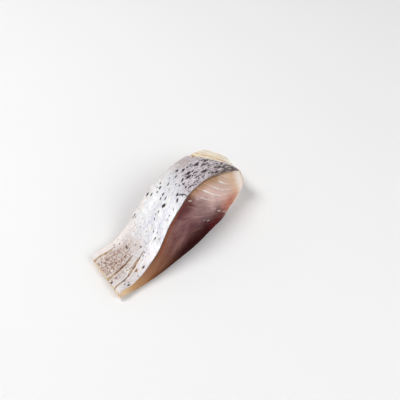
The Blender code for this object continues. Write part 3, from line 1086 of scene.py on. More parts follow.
def paint_slits(skin):
    """The belly slits: stained skin beside them, pale lips with a painted highlight, and walls of ochre and
    brown with painted shadow on the far wall.
    """
    u, v, mottle, speckle = skin.u, skin.v, skin.mottle, skin.speckle
    lip = skin.field("lip")
    near = skin.field("near_slit").rise(0.25, 0.85)
    stained = near * (1.0 - lip) * (0.10 + 0.90 * speckle.rise(0.44, 0.56))
    skin.layer(stained * 0.75, srgb(172, 126, 96))
    # The pale colour of the raised lips is a painted highlight
    skin.layer(lip * (0.30 + speckle.rise(0.40, 0.56) * 0.5), srgb(248, 242, 236))
    ochre = skin.blend(mottle.rise(0.44, 0.60), srgb(208, 186, 160), srgb(166, 132, 102))
    # Dark brown on the far wall of a slit is partly the flesh's colour and partly painted shadow under the
    # upper lip; the near side is ochre
    deep_shade = skin.blend(speckle.rise(0.44, 0.58), srgb(66, 38, 36), srgb(116, 82, 70))
    pale = u.band(0.095, 0.25, 0.02) * v.rise(0.36, 0.32) + u.rise(0.07, 0.03) + v.rise(0.6, 0.8)
    shade = skin.field("slit_side") * 0.6 + pale * 1.3 - 0.65
    shade = shade + (mottle - 0.5) * 2.2 + (speckle - 0.5) * 1.4
    wall = skin.blend(shade.rise(-0.30, 0.40), deep_shade, ochre)
    skin.layer((skin.opened + (speckle - 0.5) * 0.8).rise(0.20, 0.70) * 0.95, wall)


def paint_scales(skin):
    """Painted shade in the wrinkles' grooves and painted light on their crests, grey along the scale
    pockets' edges, and grey dust between the scales.
    """
    mottle, back = skin.mottle, skin.back
    wrinkle = skin.field("wrinkle")
    broken = mottle.rise(0.40, 0.56) * 0.8
    # Darker in the wrinkles' grooves and lighter on their crests: painted shade and painted light that
    # follow the relief
    skin.layer(wrinkle.rise(0.2, 0.9) * broken * 0.40, srgb(146, 128, 126))
    skin.layer(wrinkle.rise(-0.3, -0.9) * broken * 0.45, srgb(246, 240, 236))
    step = skin.field("pocket").rise(0.55, 0.95) * (0.35 + 0.65 * mottle.rise(0.35, 0.60))
    skin.layer(step * (0.14 + back * 0.12), srgb(140, 134, 142))
    dust = skin.cells(skin.spot(skin.x * 0.9, skin.y * 1.5), 1.6)
    dots = dust.rise(0.24, 0.10) * skin.speckle.rise(0.46, 0.58)
    skin.layer(dots * (0.30 + back * 0.40), srgb(92, 84, 90))


def paint_marks(skin, specks):
    """Amber, brown and dark marks and the nick's painted shadow; returns the ragged distance to a dark
    mark.
    """
    belly = skin.belly
    dark, brown, amber = (skin.field(kind + "_mark") for kind in ("dark", "brown", "amber"))
    uneven = (skin.speckle - 0.5) * 1.3 + (skin.dashes - 0.5) * 0.9
    uneven = uneven + (skin.fine - 0.5) * 0.5 + (skin.grit - 0.5) * 1.3
    halo = (dark + uneven).rise(2.3, 1.1) * (0.25 + skin.back * 0.30)
    skin.layer(halo, srgb(122, 108, 110))
    skin.layer((brown + uneven).rise(1.25, 0.80) * 0.80, full(specks.brown))
    skin.layer((amber + uneven).rise(1.40, 0.75) * 0.92, full(specks.amber))
    skin.layer((amber + uneven).rise(0.75, 0.30) * 0.70, srgb(92, 54, 18))
    pigment = skin.blend(skin.fine.rise(0.35, 0.65), full(specks.colour), srgb(50, 36, 36))
    pigment = skin.blend(belly * 0.6, pigment, srgb(70, 46, 42))
    away = dark + uneven + belly * 0.10
    skin.layer(away.rise(1.56, 1.16) * 0.97, pigment)
    # The nick is painted dark grey: painted shadow in the shallow crack
    skin.layer(skin.field("nick") * 0.90, srgb(58, 50, 54))
    return away


def skin_material(look, specks):
    """Silver skin: white flank, lilac back with a dark hem, tan belly with ochre slits."""
    material, skin = new_material("silver_skin", SkinBoard)
    paint_flank(skin, look)
    paint_back(skin, look)
    paint_tip(skin)
    paint_belly(skin, look)
    paint_slits(skin)
    paint_scales(skin)
    from_mark = paint_marks(skin, specks)
    skin.layer(skin.field("under") * 0.85, srgb(128, 104, 92))
    tone = 1.0 + (skin.fine - 0.5) * 0.14 + (skin.mottle - 0.5) * 0.16
    relief = skin.bump(skin.mottle, 0.60, 0.22 * MM)
    relief = skin.bump(skin.strokes, 0.45, 0.14 * MM, relief)
    relief = skin.bump(skin.speckle, 0.45, 0.12 * MM, relief)
    shine = (1.0 - skin.belly * 0.75) * (1.0 - skin.opened)
    finish_material(
        skin,
        Base_Color=skin.shaded(skin.colour, tone),
        Metallic=shine * (0.15 + (skin.patches - 0.5) * 0.2),
        Roughness=0.44 + (skin.mottle - 0.5) * 0.30,
        Coat_Weight=0.32 * (1.0 - from_mark.rise(1.3, 0.9) * 0.9),
        Coat_Roughness=0.16,
        Coat_IOR=BRINE_FILM_IOR,
        Specular_IOR_Level=0.35,
        IOR=1.40,
        Subsurface_Weight=0.10,
        Subsurface_Radius=(1.0, 0.7, 0.6),
        Subsurface_Scale=0.0006,
        Normal=skin.bump(skin.fine, 0.25, 0.06 * MM, relief),
    )
    return material


def septa_material(look):
    """Pearly wet threads."""
    material, board = new_material("septa")
    patches = board.cloud(board.object_place(), 700.0, 2.0, 0.5)
    finish_material(
        board,
        Base_Color=board.blend(patches.rise(0.45, 0.75) * 0.35, full(look.colour), srgb(240, 214, 196)),
        Roughness=0.28 + (patches - 0.5) * 0.2,
        Specular_IOR_Level=0.5,
        IOR=2.0,
        Coat_Weight=1.0,
        Coat_Roughness=0.10,
        Coat_IOR=2.0,
        Subsurface_Weight=0.1,
        Subsurface_Radius=(1.0, 0.8, 0.7),
        Subsurface_Scale=0.0003,
        Normal=board.bump(patches, 0.4, 0.08 * MM),
    )
    return material


def speck_material(look):
    """Pigment in the skin, paler where it is thin."""
    material, board = new_material("specks")
    patches = board.cloud(board.object_place(), 1400.0, 3.0, 0.6)
    finish_material(
        board,
        Base_Color=board.blend(patches.rise(0.40, 0.66) * 0.45, full(look.colour), srgb(96, 84, 84)),
        Roughness=0.42 + (patches - 0.5) * 0.3,
        Coat_Weight=0.3,
        Coat_Roughness=0.2,
        Normal=board.bump(patches, 0.4, 0.05 * MM),
    )
    return material


def brine_material():
    """Clear salty liquid."""
    material, board = new_material("brine")
    ripple = board.cloud(board.object_place(), 600.0, 1.0, 0.5)
    finish_material(
        board,
        Base_Color=(1.0, 0.985, 0.97, 1.0),
        Roughness=0.03 + ripple * 0.04,
        IOR=1.35,
        Transmission_Weight=1.0,
        Normal=board.bump(ripple, 0.1, 0.05 * MM),
    )
    return material


def floor_material(look):
    """Plain pale floor, whose wall glows a little so that it stays pale."""
    material, board = new_material("pale_floor")
    here = board.object_place()
    low = tuple(c * 0.985 for c in look.floor)
    height = board.node("ShaderNodeSeparateXYZ", inputs={"Vector": here}, out="Z")
    finish_material(
        board,
        Base_Color=board.blend(board.cloud(here, 14.0, 2.0, 0.5), full(look.floor), full(low)),
        Roughness=0.6,
        Specular_IOR_Level=0.2,
        Emission_Color=board.blend(height.rise(0.02, 0.50), srgb(0, 0, 0), srgb(255, 255, 255)),
        Emission_Strength=0.36,
    )
    return material


def rounded(shape, u, v, w):
    """The block's surface with its edges rounded, as (u, v, w)."""
    sizes = shape.sizes
    tall = shape.tallness(u, v)
    extent = np.stack([shape.length(v), np.full(len(u), sizes.width), tall], -1)
    radius = np.minimum(sizes.edge_radius, 0.42 * tall)[:, None]
    point = np.stack([u, v, w], -1) * extent
    core = np.clip(point, radius, extent - radius)
    out = point - core
    far = np.linalg.norm(out, axis=1, keepdims=True)
    return ((core + out * radius / np.maximum(far, 1e-9)) / extent).T


def strands(u, v):
    """(metres past the end of the skin, strands of fat counted from it) on the bare back edge."""
    past = (u - along(SKIN_END, v)) * ALONG_MM
    x, y = flat_mm(u, v)
    wander = 1.9 * waves(x, y, 7.5, 60.5) + 0.80 * waves(x, y, 2.8, 61.5)
    return past * MM, (past + wander) / FAT_STRAND_MM


def flake_relief(settings, shape, u, v, w, points, sweep):
    """How far each place of a cut stands out, in metres."""
    look = settings.flesh
    step = look.flake_step / MM
    turn = (sweep - shape.FIRST_SEPTUM) / step
    off = turn - np.round(turn)
    back = smooth(0.50, 0.70, u)
    notch = -look.flake_depth * groove(off * step, 0.75) * (0.12 + 0.88 * back)
    bulge = look.flake_depth * (1 - 4 * off**2) * (0.15 + 0.55 * back)
    x, z = points[:, 0], points[:, 2]
    grain = look.grain_depth * waves(sweep * 1.7, z / MM * 0.35, 1.0, 33.0) * (1 - 0.7 * back)
    rough = 0.07 * MM * waves(x, z, 1.5 * MM, 27.0) + 0.14 * MM * waves(x, z, 4.5 * MM, 28.0)
    return notch + bulge + grain + rough


def flesh_levels():
    """Levels along the slice, closer together where the back edge is bare."""
    front = np.linspace(0, 0.70, 190, endpoint=False)
    rest = np.linspace(0.70, 1.0, 111)
    return np.concatenate([front, rest])


def flesh_sink(settings, u, v, past, strand, opened):
    """How far the flesh lies under the outside of the skin, in metres, with strands where it is bare."""
    under_skin = settings.skin.thickness * 0.75 + 0.12 * MM * opened
    between = groove(strand - np.round(strand), 0.30)
    lumps = 0.10 * MM * waves(*flat_mm(u, v), 1.6, 62.5)
    crest = 0.55 * MM * smooth(0.0, 2.5 * MM, past) * smooth(0.35, 0.7, v)
    fat = 0.12 * MM + (0.17 * MM * between + lumps - crest) * (1 - smooth(0.965, 1.0, u))
    return mix(under_skin, fat, smooth(0.0, 0.6 * MM, past))


def carve_ends(points, u0, u, v, w):
    """Tucks the belly end in below, and makes both end faces uneven."""
    y, z = points[:, 1].copy(), points[:, 2].copy()
    points[:, 0] += Shape.BELLY_TUCK * (1 - w) * smooth(0.065, 0.0, u) * smooth(0.0, 0.12, v)
    uneven = 0.22 * MM * waves(y, z * 2.0, 3.1 * MM, 24.0) + 0.10 * MM * waves(y, z, 1.0 * MM, 25.0)
    points[:, 0] += (u0 == 0) * uneven
    end_face = (u0 == 1) * smooth(0.0, 0.15, w) * smooth(0.0, 0.15, 1 - w)
    points[:, 0] += end_face * (0.20 * MM * waves(y, z * 2.5, 5 * MM, 23.0))


def carve_underside(points, u, v, inner):
    """Presses the marks of the ribs into the belly half of the underside."""
    ribs = (points[:, 0] + 0.6 * points[:, 1]) / RIB_STEP
    ribs = 0.25 * MM * groove((ribs - np.round(ribs)) * RIB_STEP, 2.4 * MM)
    inside = smooth(0.0, 0.12, v) * smooth(0.0, 0.12, 1 - v) * (1 - smooth(0.30, 0.38, u))
    points[:, 2] += inner * ribs * inside


def make_flesh(settings):
    """The flesh under the skin, with flakes on both cuts and strands of fat on the back edge."""
    shape = Shape(settings.shape)
    u0, v0, w0, quads, side = block_grid(flesh_levels(), levels(64, 0.25), levels(76, 0.4))
    u, v, w = rounded(shape, u0, v0, w0)
    past, strand = strands(u, v)
    opened = slit_fields(u, v)[1]
    points = shape.place(u, v, w, flesh_sink(settings, u, v, past, strand, opened))

    tall = shape.tallness(u, v)
    sweep, height = shape.sweep(u, v, w)
    x, y, z = points.T
    across = 0.9 * waves(y, z, 7 * MM, 22.0) * (1 - np.abs(2 * v - 1))
    sweep = sweep + 0.55 * waves(x, z, 9 * MM, 21.0) + across
    edge = smooth(0.0, 1.2 * MM, np.minimum(w, 1 - w) * tall)
    edge = edge * smooth(0.0, 0.02, u) * (1 - smooth(0.975, 1.0, u))
    cut = (v0 == 1) * 1.0 - (v0 == 0) * 1.0
    points[:, 1] += cut * edge * flake_relief(settings, shape, u, v, w, points, sweep)
    carve_ends(points, u0, u, v, w)
    carve_underside(points, u, v, (w0 == 0) & (v0 > 0) & (v0 < 1))

    fields = {
        "along": u,
        "across": v,
        "up": w,
        "depth_mm": (1 - w) * tall / MM,
        "sweep_mm": sweep,
        "height_mm": height,
        "rise_mm": w * tall / MM,
        "slit": opened * (w0 == 1),
        "strand": strand,
        "past_mm": past / MM,
    }
    mesh = mesh_from("flesh", points, quads, fields)
    bare_quads = (side == 0) & (past[quads].min(axis=1) > -0.8 * MM)
    mesh.polygons.foreach_set("material_index", bare_quads.astype(np.int32))
    piece = add_piece("flesh", mesh, (flesh_material(settings.flesh), fat_material()))
    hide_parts(NODE)


def scale_pockets(u, v):
    """The edges of the overlapping scale pockets, 1 on an edge, falling slowly behind it."""
    x, y = flat_mm(u, v)
    x = x + 0.35 * waves(x, y, 4.0, 53.5)
    y = y + 0.35 * waves(x, y, 4.0, 54.5)
    pitch, row_step, radius = 2.3, 1.25, 1.35
    top = np.zeros(np.shape(u))
    covered = np.zeros(np.shape(u), bool)
    first = np.floor((y - radius) / row_step).astype(int)
    for row in (first, first + 1, first + 2, first + 3):
        centre_y = row * row_step
        centre_x = (np.round(x / pitch - 0.5 * (row % 2)) + 0.5 * (row % 2)) * pitch
        away = np.hypot(x - centre_x, y - centre_y)
        inside = (away < radius) & ~covered
        top = np.where(inside, (away / radius) ** 6, top)
        covered |= inside
    return top


def mark_field(marks, u, v):
    """Nearness to the closest mark: 0 at its middle, 1 at its edge, at most 4."""
    nearest = np.full(np.shape(u), 4.0)
    for mark in marks:
        x, y = flat_mm(u - mark.u, v - mark.v)
        turn = math.radians(mark.turn)
        ahead = (x * math.cos(turn) + y * math.sin(turn)) / (0.5 * mark.length)
        beside = (y * math.cos(turn) - x * math.sin(turn)) / (0.5 * mark.width)
        nearest = np.minimum(nearest, np.hypot(ahead, beside))
    return nearest


def small_marks(look):
    """Small dark marks: many on the back, few on the flank."""
    random = np.random.RandomState(look.seed)
    marks = []
    while len(marks) < look.small_marks:
        u, v = random.uniform(0.02, 0.98), random.uniform(0.03, 0.97)
        back = smooth(0.54, 0.66, u) * (1 - 0.6 * smooth(0.75, 0.95, v))
        if u > along(SKIN_END, v) - 0.01 or random.uniform() > 0.13 + 0.87 * back:
            continue
        length = random.uniform(0.35, 0.75) + 0.45 * back * random.uniform() ** 2
        slope = random.normal(4, 13) + 10 * (1 - back)
        marks.append(Mark(u, v, length, length * random.uniform(0.40, 0.70), slope))
    # The far side of the back has almost none
    return tuple(mark for mark in marks if mark.v < 0.70 or not 0.60 < mark.u < 0.76)


def belly_rings(u, v, x, y):
    """Fine wrinkles round one place of the belly, from -1 to 1."""
    rings = np.hypot(u * NEAR_CUT_MM - RINGS_MIDDLE[0], v * ACROSS_MM - RINGS_MIDDLE[1])
    rings = rings + 0.5 * waves(x, y, 2.2 * MM, 56.0)
    shown = smooth(14.0, 10.5, u * NEAR_CUT_MM) * smooth(5.4, 4.2, rings) * smooth(1.0, 1.8, rings)
    return -np.sin(2 * math.pi * rings / 0.85) * shown


def skin_place(settings, shape, u, v):
    """Points on the outside of the skin, and the fields that colour it."""
    x, y = (a * MM for a in flat_mm(u, v))
    depth, opened, lip, near, slit_side = slit_fields(u, v)
    nick = slit_field(NICK, u, v)[0]
    belly = 1 - smooth(0.14, 0.30, u)
    pocket = scale_pockets(u, v)
    wrinkle = belly_rings(u, v, x, y)
    crinkle = 0.13 * waves(x, y * 1.7, 1.5 * MM, 51.0) + 0.07 * waves(x, y, 0.6 * MM, 57.0)
    dimples = 0.045 * waves(x, y, 1.1 * MM, 52.0) + 0.16 * waves(x, y, 5 * MM, 55.0)
    rise = crinkle * belly + dimples - 0.035 * wrinkle + 0.15 * lip + 0.05 * pocket * (1 - belly)
    points = shape.place(u, v, np.ones(len(u)))
    points[:, 2] += rise * MM * (1 - opened) - depth - NICK.depth * MM * nick
    fields = {
        "slit": opened,
        "lip": lip,
        "near_slit": near,
        "slit_side": slit_side,
        "nick": nick,
        "pocket": pocket,
        "wrinkle": wrinkle,
    }
    return points, fields


def make_skin(settings):
    """The skin as one thin shell that stands out a little past both cuts."""
    shape = Shape(settings.shape)
    look = settings.skin
    s, t, h, quads, _ = block_grid(levels(310, 0.1), levels(96, 0.15), np.array([0.0, 0.5, 1.0]))
    along_mm = s * ALONG_MM
    ragged = 0.35 * waves(along_mm, t, 2.2, 70.5) + 0.25 * waves(along_mm, t, 0.9, 71.5)
    lip = 1 + 1.6 * smooth(0.592, 0.582, s) * smooth(0.36, 0.50, s)
    side = 2 * t - 1
    out_share = look.overhang * (lip + ragged) / settings.shape.width
    v = t + np.sign(side) * np.abs(side) ** 30 * out_share
    across_mm, zero = v * ACROSS_MM, v * 0
    tatters = 0.010 * waves(across_mm, zero, 1.5, 72.5) + 0.005 * waves(across_mm, zero, 0.5, 75.5)
    end = along(SKIN_END, v) + tatters * smooth(0.1, 0.3, v)
    belly_edge = 0.006 * waves(across_mm, zero, 1.8, 73.5) + 0.003 * waves(across_mm, zero, 0.6, 74.5)
    u = mix(0.008 + belly_edge, end, s)
    points, fields = skin_place(settings, shape, u, v)
    # The skin thins out where it was trimmed, and its middle level rounds the rim
    left_mm = (end - u) * ALONG_MM
    feather = smooth(1.6, 0.0, left_mm) * smooth(0.15, 0.35, v)
    points[:, 2] -= (1 - h) * look.thickness + feather * 0.20 * MM * h
    rim = (h == 0.5) * 0.06 * MM
    points[:, 1] += rim * ((t == 1) * 1.0 - (t == 0) * 1.0)
    points[:, 0] += rim * ((s == 1) * 1.0 - (s == 0) * 1.0)
    specks = settings.specks
    fields["dark_mark"] = mark_field(DARK_MARKS + small_marks(specks), u, v)
    fields["brown_mark"] = mark_field(BROWN_MARKS, u, v)
    fields["amber_mark"] = mark_field(AMBER_MARKS, u, v)
    fields["under"] = (h < 1) * smooth(0.08, 0.24, u)
    fields["left_mm"] = left_mm
    mesh = mesh_from("skin", points, quads, {"along": u, "across": v, **fields})
    add_piece("skin", mesh, (skin_material(look, specks),))


def new_tree(name, sockets):
    """(board, input wires by name) of a Geometry Nodes tree with inputs of these names and types."""
    tree = bpy.data.node_groups.new(name, "GeometryNodeTree")
    tree.interface.new_socket("Geometry", in_out="OUTPUT", socket_type="NodeSocketGeometry")
    for socket, kind in {"Geometry": "Geometry", **sockets}.items():
        tree.interface.new_socket(socket, in_out="INPUT", socket_type="NodeSocket" + kind)
    board = Board(tree)
    source = tree.nodes.new("NodeGroupInput")
    wires = {output.name: Wire(board, output) for output in source.outputs if output.name}
    return board, wires


def end_tree(board, geometry, material):
    """Realizes what the tree made and gives it its material."""
    real = board.node("GeometryNodeRealizeInstances", inputs={"Geometry": geometry})
    painted = board.node("GeometryNodeSetMaterial", inputs={"Geometry": real, "Material": material})
    target = board.tree.nodes.new("NodeGroupOutput")
    board.tree.links.new(painted.socket, target.inputs[0])


def grow(name, mesh, tree, values):
    """Runs a tree on a mesh with these inputs and returns the result as a plain piece."""
    seed_object = bpy.data.objects.new(name + "_source", mesh)
    bpy.context.scene.collection.objects.link(seed_object)
    modifier = seed_object.modifiers.new(name, "NODES")
    modifier.node_group = tree
    sockets = {item.name: item.identifier for item in tree.interface.items_tree if item.in_out == "INPUT"}
    for socket, value in values.items():
        modifier[sockets[socket]] = value
    graph = bpy.context.evaluated_depsgraph_get()
    made = bpy.data.meshes.new_from_object(seed_object.evaluated_get(graph), depsgraph=graph)
    seed_object.modifiers.remove(modifier)
    bpy.data.objects.remove(seed_object)
    if not made.polygons:
        raise RuntimeError(f"{name}: the tree made nothing")
    made.name = name
    made.shade_smooth()
    return add_piece(name, made)


def named(board, name, kind="FLOAT"):
    """An attribute of the mesh that a Geometry Nodes tree works on."""
    return board.node("GeometryNodeInputNamedAttribute", {"data_type": kind}, {"Name": name})


def septa_tree(material):
    """Turns polylines into tapering threads with closed ends."""
    board, wires = new_tree("septa_threads", {"Profile points": "Int"})
    line = board.node("GeometryNodeMeshToCurve", inputs={"Mesh": wires["Geometry"]})
    round_profile = {"Resolution": wires["Profile points"], "Radius": 0.5}
    profile = board.node("GeometryNodeCurvePrimitiveCircle", inputs=round_profile)
    inputs = {"Curve": line, "Profile Curve": profile, "Scale": named(board, "width"), "Fill Caps": True}
    end_tree(board, board.node("GeometryNodeCurveToMesh", inputs=inputs), material)
    return board.tree


def thread_points(settings, shape, septum, v, draw):
    """The points of one thread on a cut, a little proud of the groove that it lies in."""
    count = max(8, int((septum.top - septum.bottom) / THREAD_STEP_MM))
    share = np.linspace(0, 1, count)
    z = mix(septum.top, septum.bottom, share)
    wobble = 0.12 * waves(z / 2.0, share * 0, 1.0, draw) + 0.05 * waves(z / 0.5, share * 0, 1.0, draw + 3)
    side = np.full(count, float(v))
    u, w = shape.on_cut(septum.sweep + wobble, z, side)
    on = (u < 0.965) & (w > 0.03) & (w < 0.95)
    u, w, side, share = u[on], w[on], side[on], share[on]
    if len(u) < 5:
        return None
    points = shape.place(u, side, w)
    out = -1 if v == 0 else 1
    relief = flake_relief(settings, shape, u, side, w, points, septum.sweep + wobble[on])
    points[:, 1] += out * (relief + 0.32 * septum.width * MM)
    return points, (share - share[0]) / (share[-1] - share[0])


def all_threads(settings, shape):
    """(septum, v) of each thread: septa and painted-highlight flecks on the near cut, random septa on the
    far one.
    """
    random = np.random.RandomState(settings.septa.seed)
    threads = [(septum, 0) for septum in NEAR_SEPTA]
    for sparkle in SPARKLE_FLECKS:
        place = np.array([[sparkle.u], [0.0], [sparkle.w]])
        sweep, z = (float(a[0]) for a in shape.sweep(*place))
        reach = 0.45 * sparkle.length
        threads.append((Septum(sweep, z + reach, z - reach, 0.8 * sparkle.width), 0))
    step = settings.flesh.flake_step / MM
    for _ in range(settings.septa.far_count):
        sweep = shape.FIRST_SEPTUM + step * random.randint(-3, 3) + random.uniform(-0.15, 0.15)
        top = random.uniform(5.0, 15.0)
        bottom = max(1.0, top - random.uniform(1.5, 6.5))
        threads.append((Septum(sweep, top, bottom, random.uniform(0.18, 0.42)), 1))
    return threads


def make_septa(settings):
    """White threads along the septa of both cuts."""
    shape = Shape(settings.shape)
    points, edges, widths = [], [], []
    for number, (septum, v) in enumerate(all_threads(settings, shape)):
        thread = thread_points(settings, shape, septum, v, 80.5 + number)
        if thread is None:
            continue
        line, share = thread
        first = len(points)
        edges += [(first + i, first + i + 1) for i in range(len(line) - 1)]
        points += line.tolist()
        body = np.minimum(1, 0.15 + 5 * share) * np.clip(1.02 - share, 0, 1) ** 0.6
        reach = (septum.top - septum.bottom) / 1.5
        uneven = np.clip(1 + 0.75 * waves(share * reach, share * 0, 1.0, 90.5 + number), 0.5, 1.3)
        widths += (septum.width * MM * body * uneven).tolist()
    mesh = bpy.data.meshes.new("septa_lines")
    mesh.from_pydata(points, edges, [])
    mesh.attributes.new("width", "FLOAT", "POINT").data.foreach_set("value", widths)
    grow("septa", mesh, septa_tree(septa_material(settings.septa)), {"Profile points": 8})


def lattice(first, second, flipped=False):
    """(first, second, quads) of an open grid that crosses these two rows of levels."""
    a, b = (values.ravel() for values in np.meshgrid(first, second, indexing="ij"))
    index = np.arange(len(a)).reshape(len(first), len(second))
    quads = np.stack([index[:-1, :-1], index[1:, :-1], index[1:, 1:], index[:-1, 1:]], -1).reshape(-1, 4)
    return a, b, quads[:, ::-1] if flipped else quads


def lentils(board, points, rotation, scale, roughness):
    """Flat drops on points, turned and scaled, with outlines roughened by noise."""
    drop = board.node("GeometryNodeMeshIcoSphere", inputs={"Radius": 0.5, "Subdivisions": 2})
    inputs = {"Points": points, "Instance": drop, "Rotation": rotation, "Scale": scale}
    placed = board.node("GeometryNodeInstanceOnPoints", inputs=inputs)
    real = board.node("GeometryNodeRealizeInstances", inputs={"Geometry": placed})
    where = board.node("GeometryNodeInputPosition")
    bent = board.node("ShaderNodeTexNoise", inputs={"Vector": where, "Scale": 1900.0, "Detail": 1.0}, out=1)
    maths = "ShaderNodeVectorMath"
    centred = board.node(maths, {"operation": "SUBTRACT"}, {0: bent, 1: (0.5, 0.5, 0.5)})
    offset = board.node(maths, {"operation": "SCALE"}, {0: centred, "Scale": roughness})
    return board.node("GeometryNodeSetPosition", inputs={"Geometry": real, "Offset": offset})


def scatter_tree(name, material):
    """Scatters flat drops over a patch, as dense as its field says, along its rows."""
    sizes = ("Density", "Length", "Width", "Height", "Roughness", "Turn")
    board, wires = new_tree(name, {"Seed": "Int", **{size: "Float" for size in sizes}})
    spread = board.tree.nodes.new("GeometryNodeDistributePointsOnFaces")
    spread.distribute_method = "RANDOM"
    density = named(board, "density") * wires["Density"]
    for socket, wire in {"Mesh": wires["Geometry"], "Density": density, "Seed": wires["Seed"]}.items():
        board.tree.links.new(wire.socket, spread.inputs[socket])
    points = Wire(board, spread.outputs["Points"])
    upright = Wire(board, spread.outputs["Rotation"])
    inputs = {"Rotation": upright, "Vector": named(board, "run", "FLOAT_VECTOR")}
    lined = board.node("FunctionNodeAlignRotationToVector", {"axis": "X", "pivot_axis": "Z"}, inputs)

    def draw(low, high, number):
        inputs = {2: low, 3: high, "Seed": wires["Seed"] + number}
        return board.node("FunctionNodeRandomValue", {"data_type": "FLOAT"}, inputs, out=1)

    turn = board.spot(0.0, 0.0, draw(-1.0, 1.0, 1) * wires["Turn"])
    turned = board.node("FunctionNodeRotateRotation", {"rotation_space": "LOCAL"}, {0: lined, 1: turn})
    size = draw(0.0, 1.0, 2) ** 2.2 * 0.75 + 0.25
    scale = board.spot(
        size * wires["Length"] * draw(0.6, 1.0, 3),
        size * wires["Width"] * draw(0.6, 1.0, 4),
        wires["Height"] * (size * 0.5 + 0.5),
    )
    end_tree(board, lentils(board, points, turned, scale, wires["Roughness"]), material)
    return board.tree


def scatter(name, material, points, quads, density, run, **values):
    """A piece of flat drops, scattered on a patch along the direction run at each point."""
    mesh = mesh_from(name + "_field", points, quads, {"density": density})
    mesh.attributes.new("run", "FLOAT_VECTOR", "POINT").data.foreach_set("vector", np.ravel(run))
    grow(name, mesh, scatter_tree(name + "_scatter", material), values)


def make_specks(settings):
    """Fine specks scattered over the skin, with more of them towards the back and round the marks."""
    shape = Shape(settings.shape)
    look = settings.specks
    u, v, quads = lattice(np.linspace(0.01, 0.985, 150), np.linspace(0.02, 0.98, 50))
    u = u * np.minimum(1.0, along(SKIN_END, v) / 0.99)
    before, points, after = (skin_place(settings, shape, u + by, v)[0] for by in (-0.01, 0.0, 0.01))
    run = after - before
    run /= np.linalg.norm(run, axis=1, keepdims=True)
    back = smooth(0.56, 0.70, u) * (1 - 0.75 * smooth(0.72, 0.95, v))
    band = smooth(0.80, 0.92, u) * (1 - smooth(0.18, 0.34, v))
    around = smooth(2.2, 0.9, mark_field(DARK_MARKS, u, v))
    density = 0.035 + 0.12 * back + 0.30 * band + 0.85 * around
    scatter(
        "specks",
        speck_material(look),
        points,
        quads,
        density,
        run,
        Density=look.density * PER_SQUARE_CM,
        Seed=look.seed,
        Length=look.length,
        Width=look.width,
        Height=look.height,
        Roughness=0.08 * MM,
        Turn=0.5,
    )


def make_brine(settings):
    """Small beads of brine on both cuts."""
    shape = Shape(settings.shape)
    look = settings.brine
    points, density, quads = [], [], []
    for far in (False, True):
        u, w, faces = lattice(np.linspace(0.30, 0.95, 110), np.linspace(0.1, 0.9, 30), flipped=far)
        cut = shape.place(u, np.full(len(u), float(far)), w)
        cut[:, 1] += 0.06 * MM if far else -0.06 * MM
        clumps = smooth(-0.05, 0.45, waves(u * ALONG_MM, w * 20 + 50 * far, 5.0, 111.0))
        points.append(cut)
        density.append(clumps * smooth(0.35, 0.55, u) * smooth(0.05, 0.30, w))
        quads.append(faces + far * len(u))
    points = np.concatenate(points)
    scatter(
        "brine",
        brine_material(),
        points,
        np.concatenate(quads),
        np.concatenate(density),
        np.tile((1.0, 0.0, 0.0), (len(points), 1)),
        Density=look.density * PER_SQUARE_CM,
        Seed=look.seed,
        Length=look.size,
        Width=look.size * 0.8,
        Height=look.size * 0.42,
        Roughness=0.03 * MM,
        Turn=3.1,
    )


def add_light(name, power, size, place, aim):
    """A soft round light that shines from its place at the aim."""
    light = bpy.data.lights.new(name, "AREA")
    light.energy = power
    light.shape = "DISK"
    light.size = size
    lamp = bpy.data.objects.new(name, light)
    bpy.context.scene.collection.objects.link(lamp)
    lamp.location = place
    lamp.rotation_euler = (place - aim).to_track_quat("Z", "Y").to_euler()


def cove_mesh(material):
    """A round floor that curves up into a low wall all round, so that no horizon shows."""
    bends = [math.radians(10 * step) for step in range(1, 10)]
    profile = [(0.15, 0.0), (0.5, 0.0), (FLOOR_RADIUS, 0.0)]
    profile += [(FLOOR_RADIUS + COVE * math.sin(a), COVE - COVE * math.cos(a)) for a in bends]
    profile.append((FLOOR_RADIUS + COVE, WALL_TOP))
    around = 72
    points, faces = [(0.0, 0.0, 0.0)], []
    for radius, height in profile:
        for i in range(around):
            turn = 2 * math.pi * i / around
            points.append((radius * math.cos(turn), radius * math.sin(turn), height))
    for i in range(around):
        j = (i + 1) % around
        faces.append((0, 1 + i, 1 + j))
        for row in range(len(profile) - 1):
            low = 1 + row * around
            faces.append((low + i, low + around + i, low + around + j, low + j))
    mesh = bpy.data.meshes.new("floor")
    mesh.from_pydata(points, [], faces)
    mesh.shade_smooth()
    mesh.materials.append(material)
    return mesh


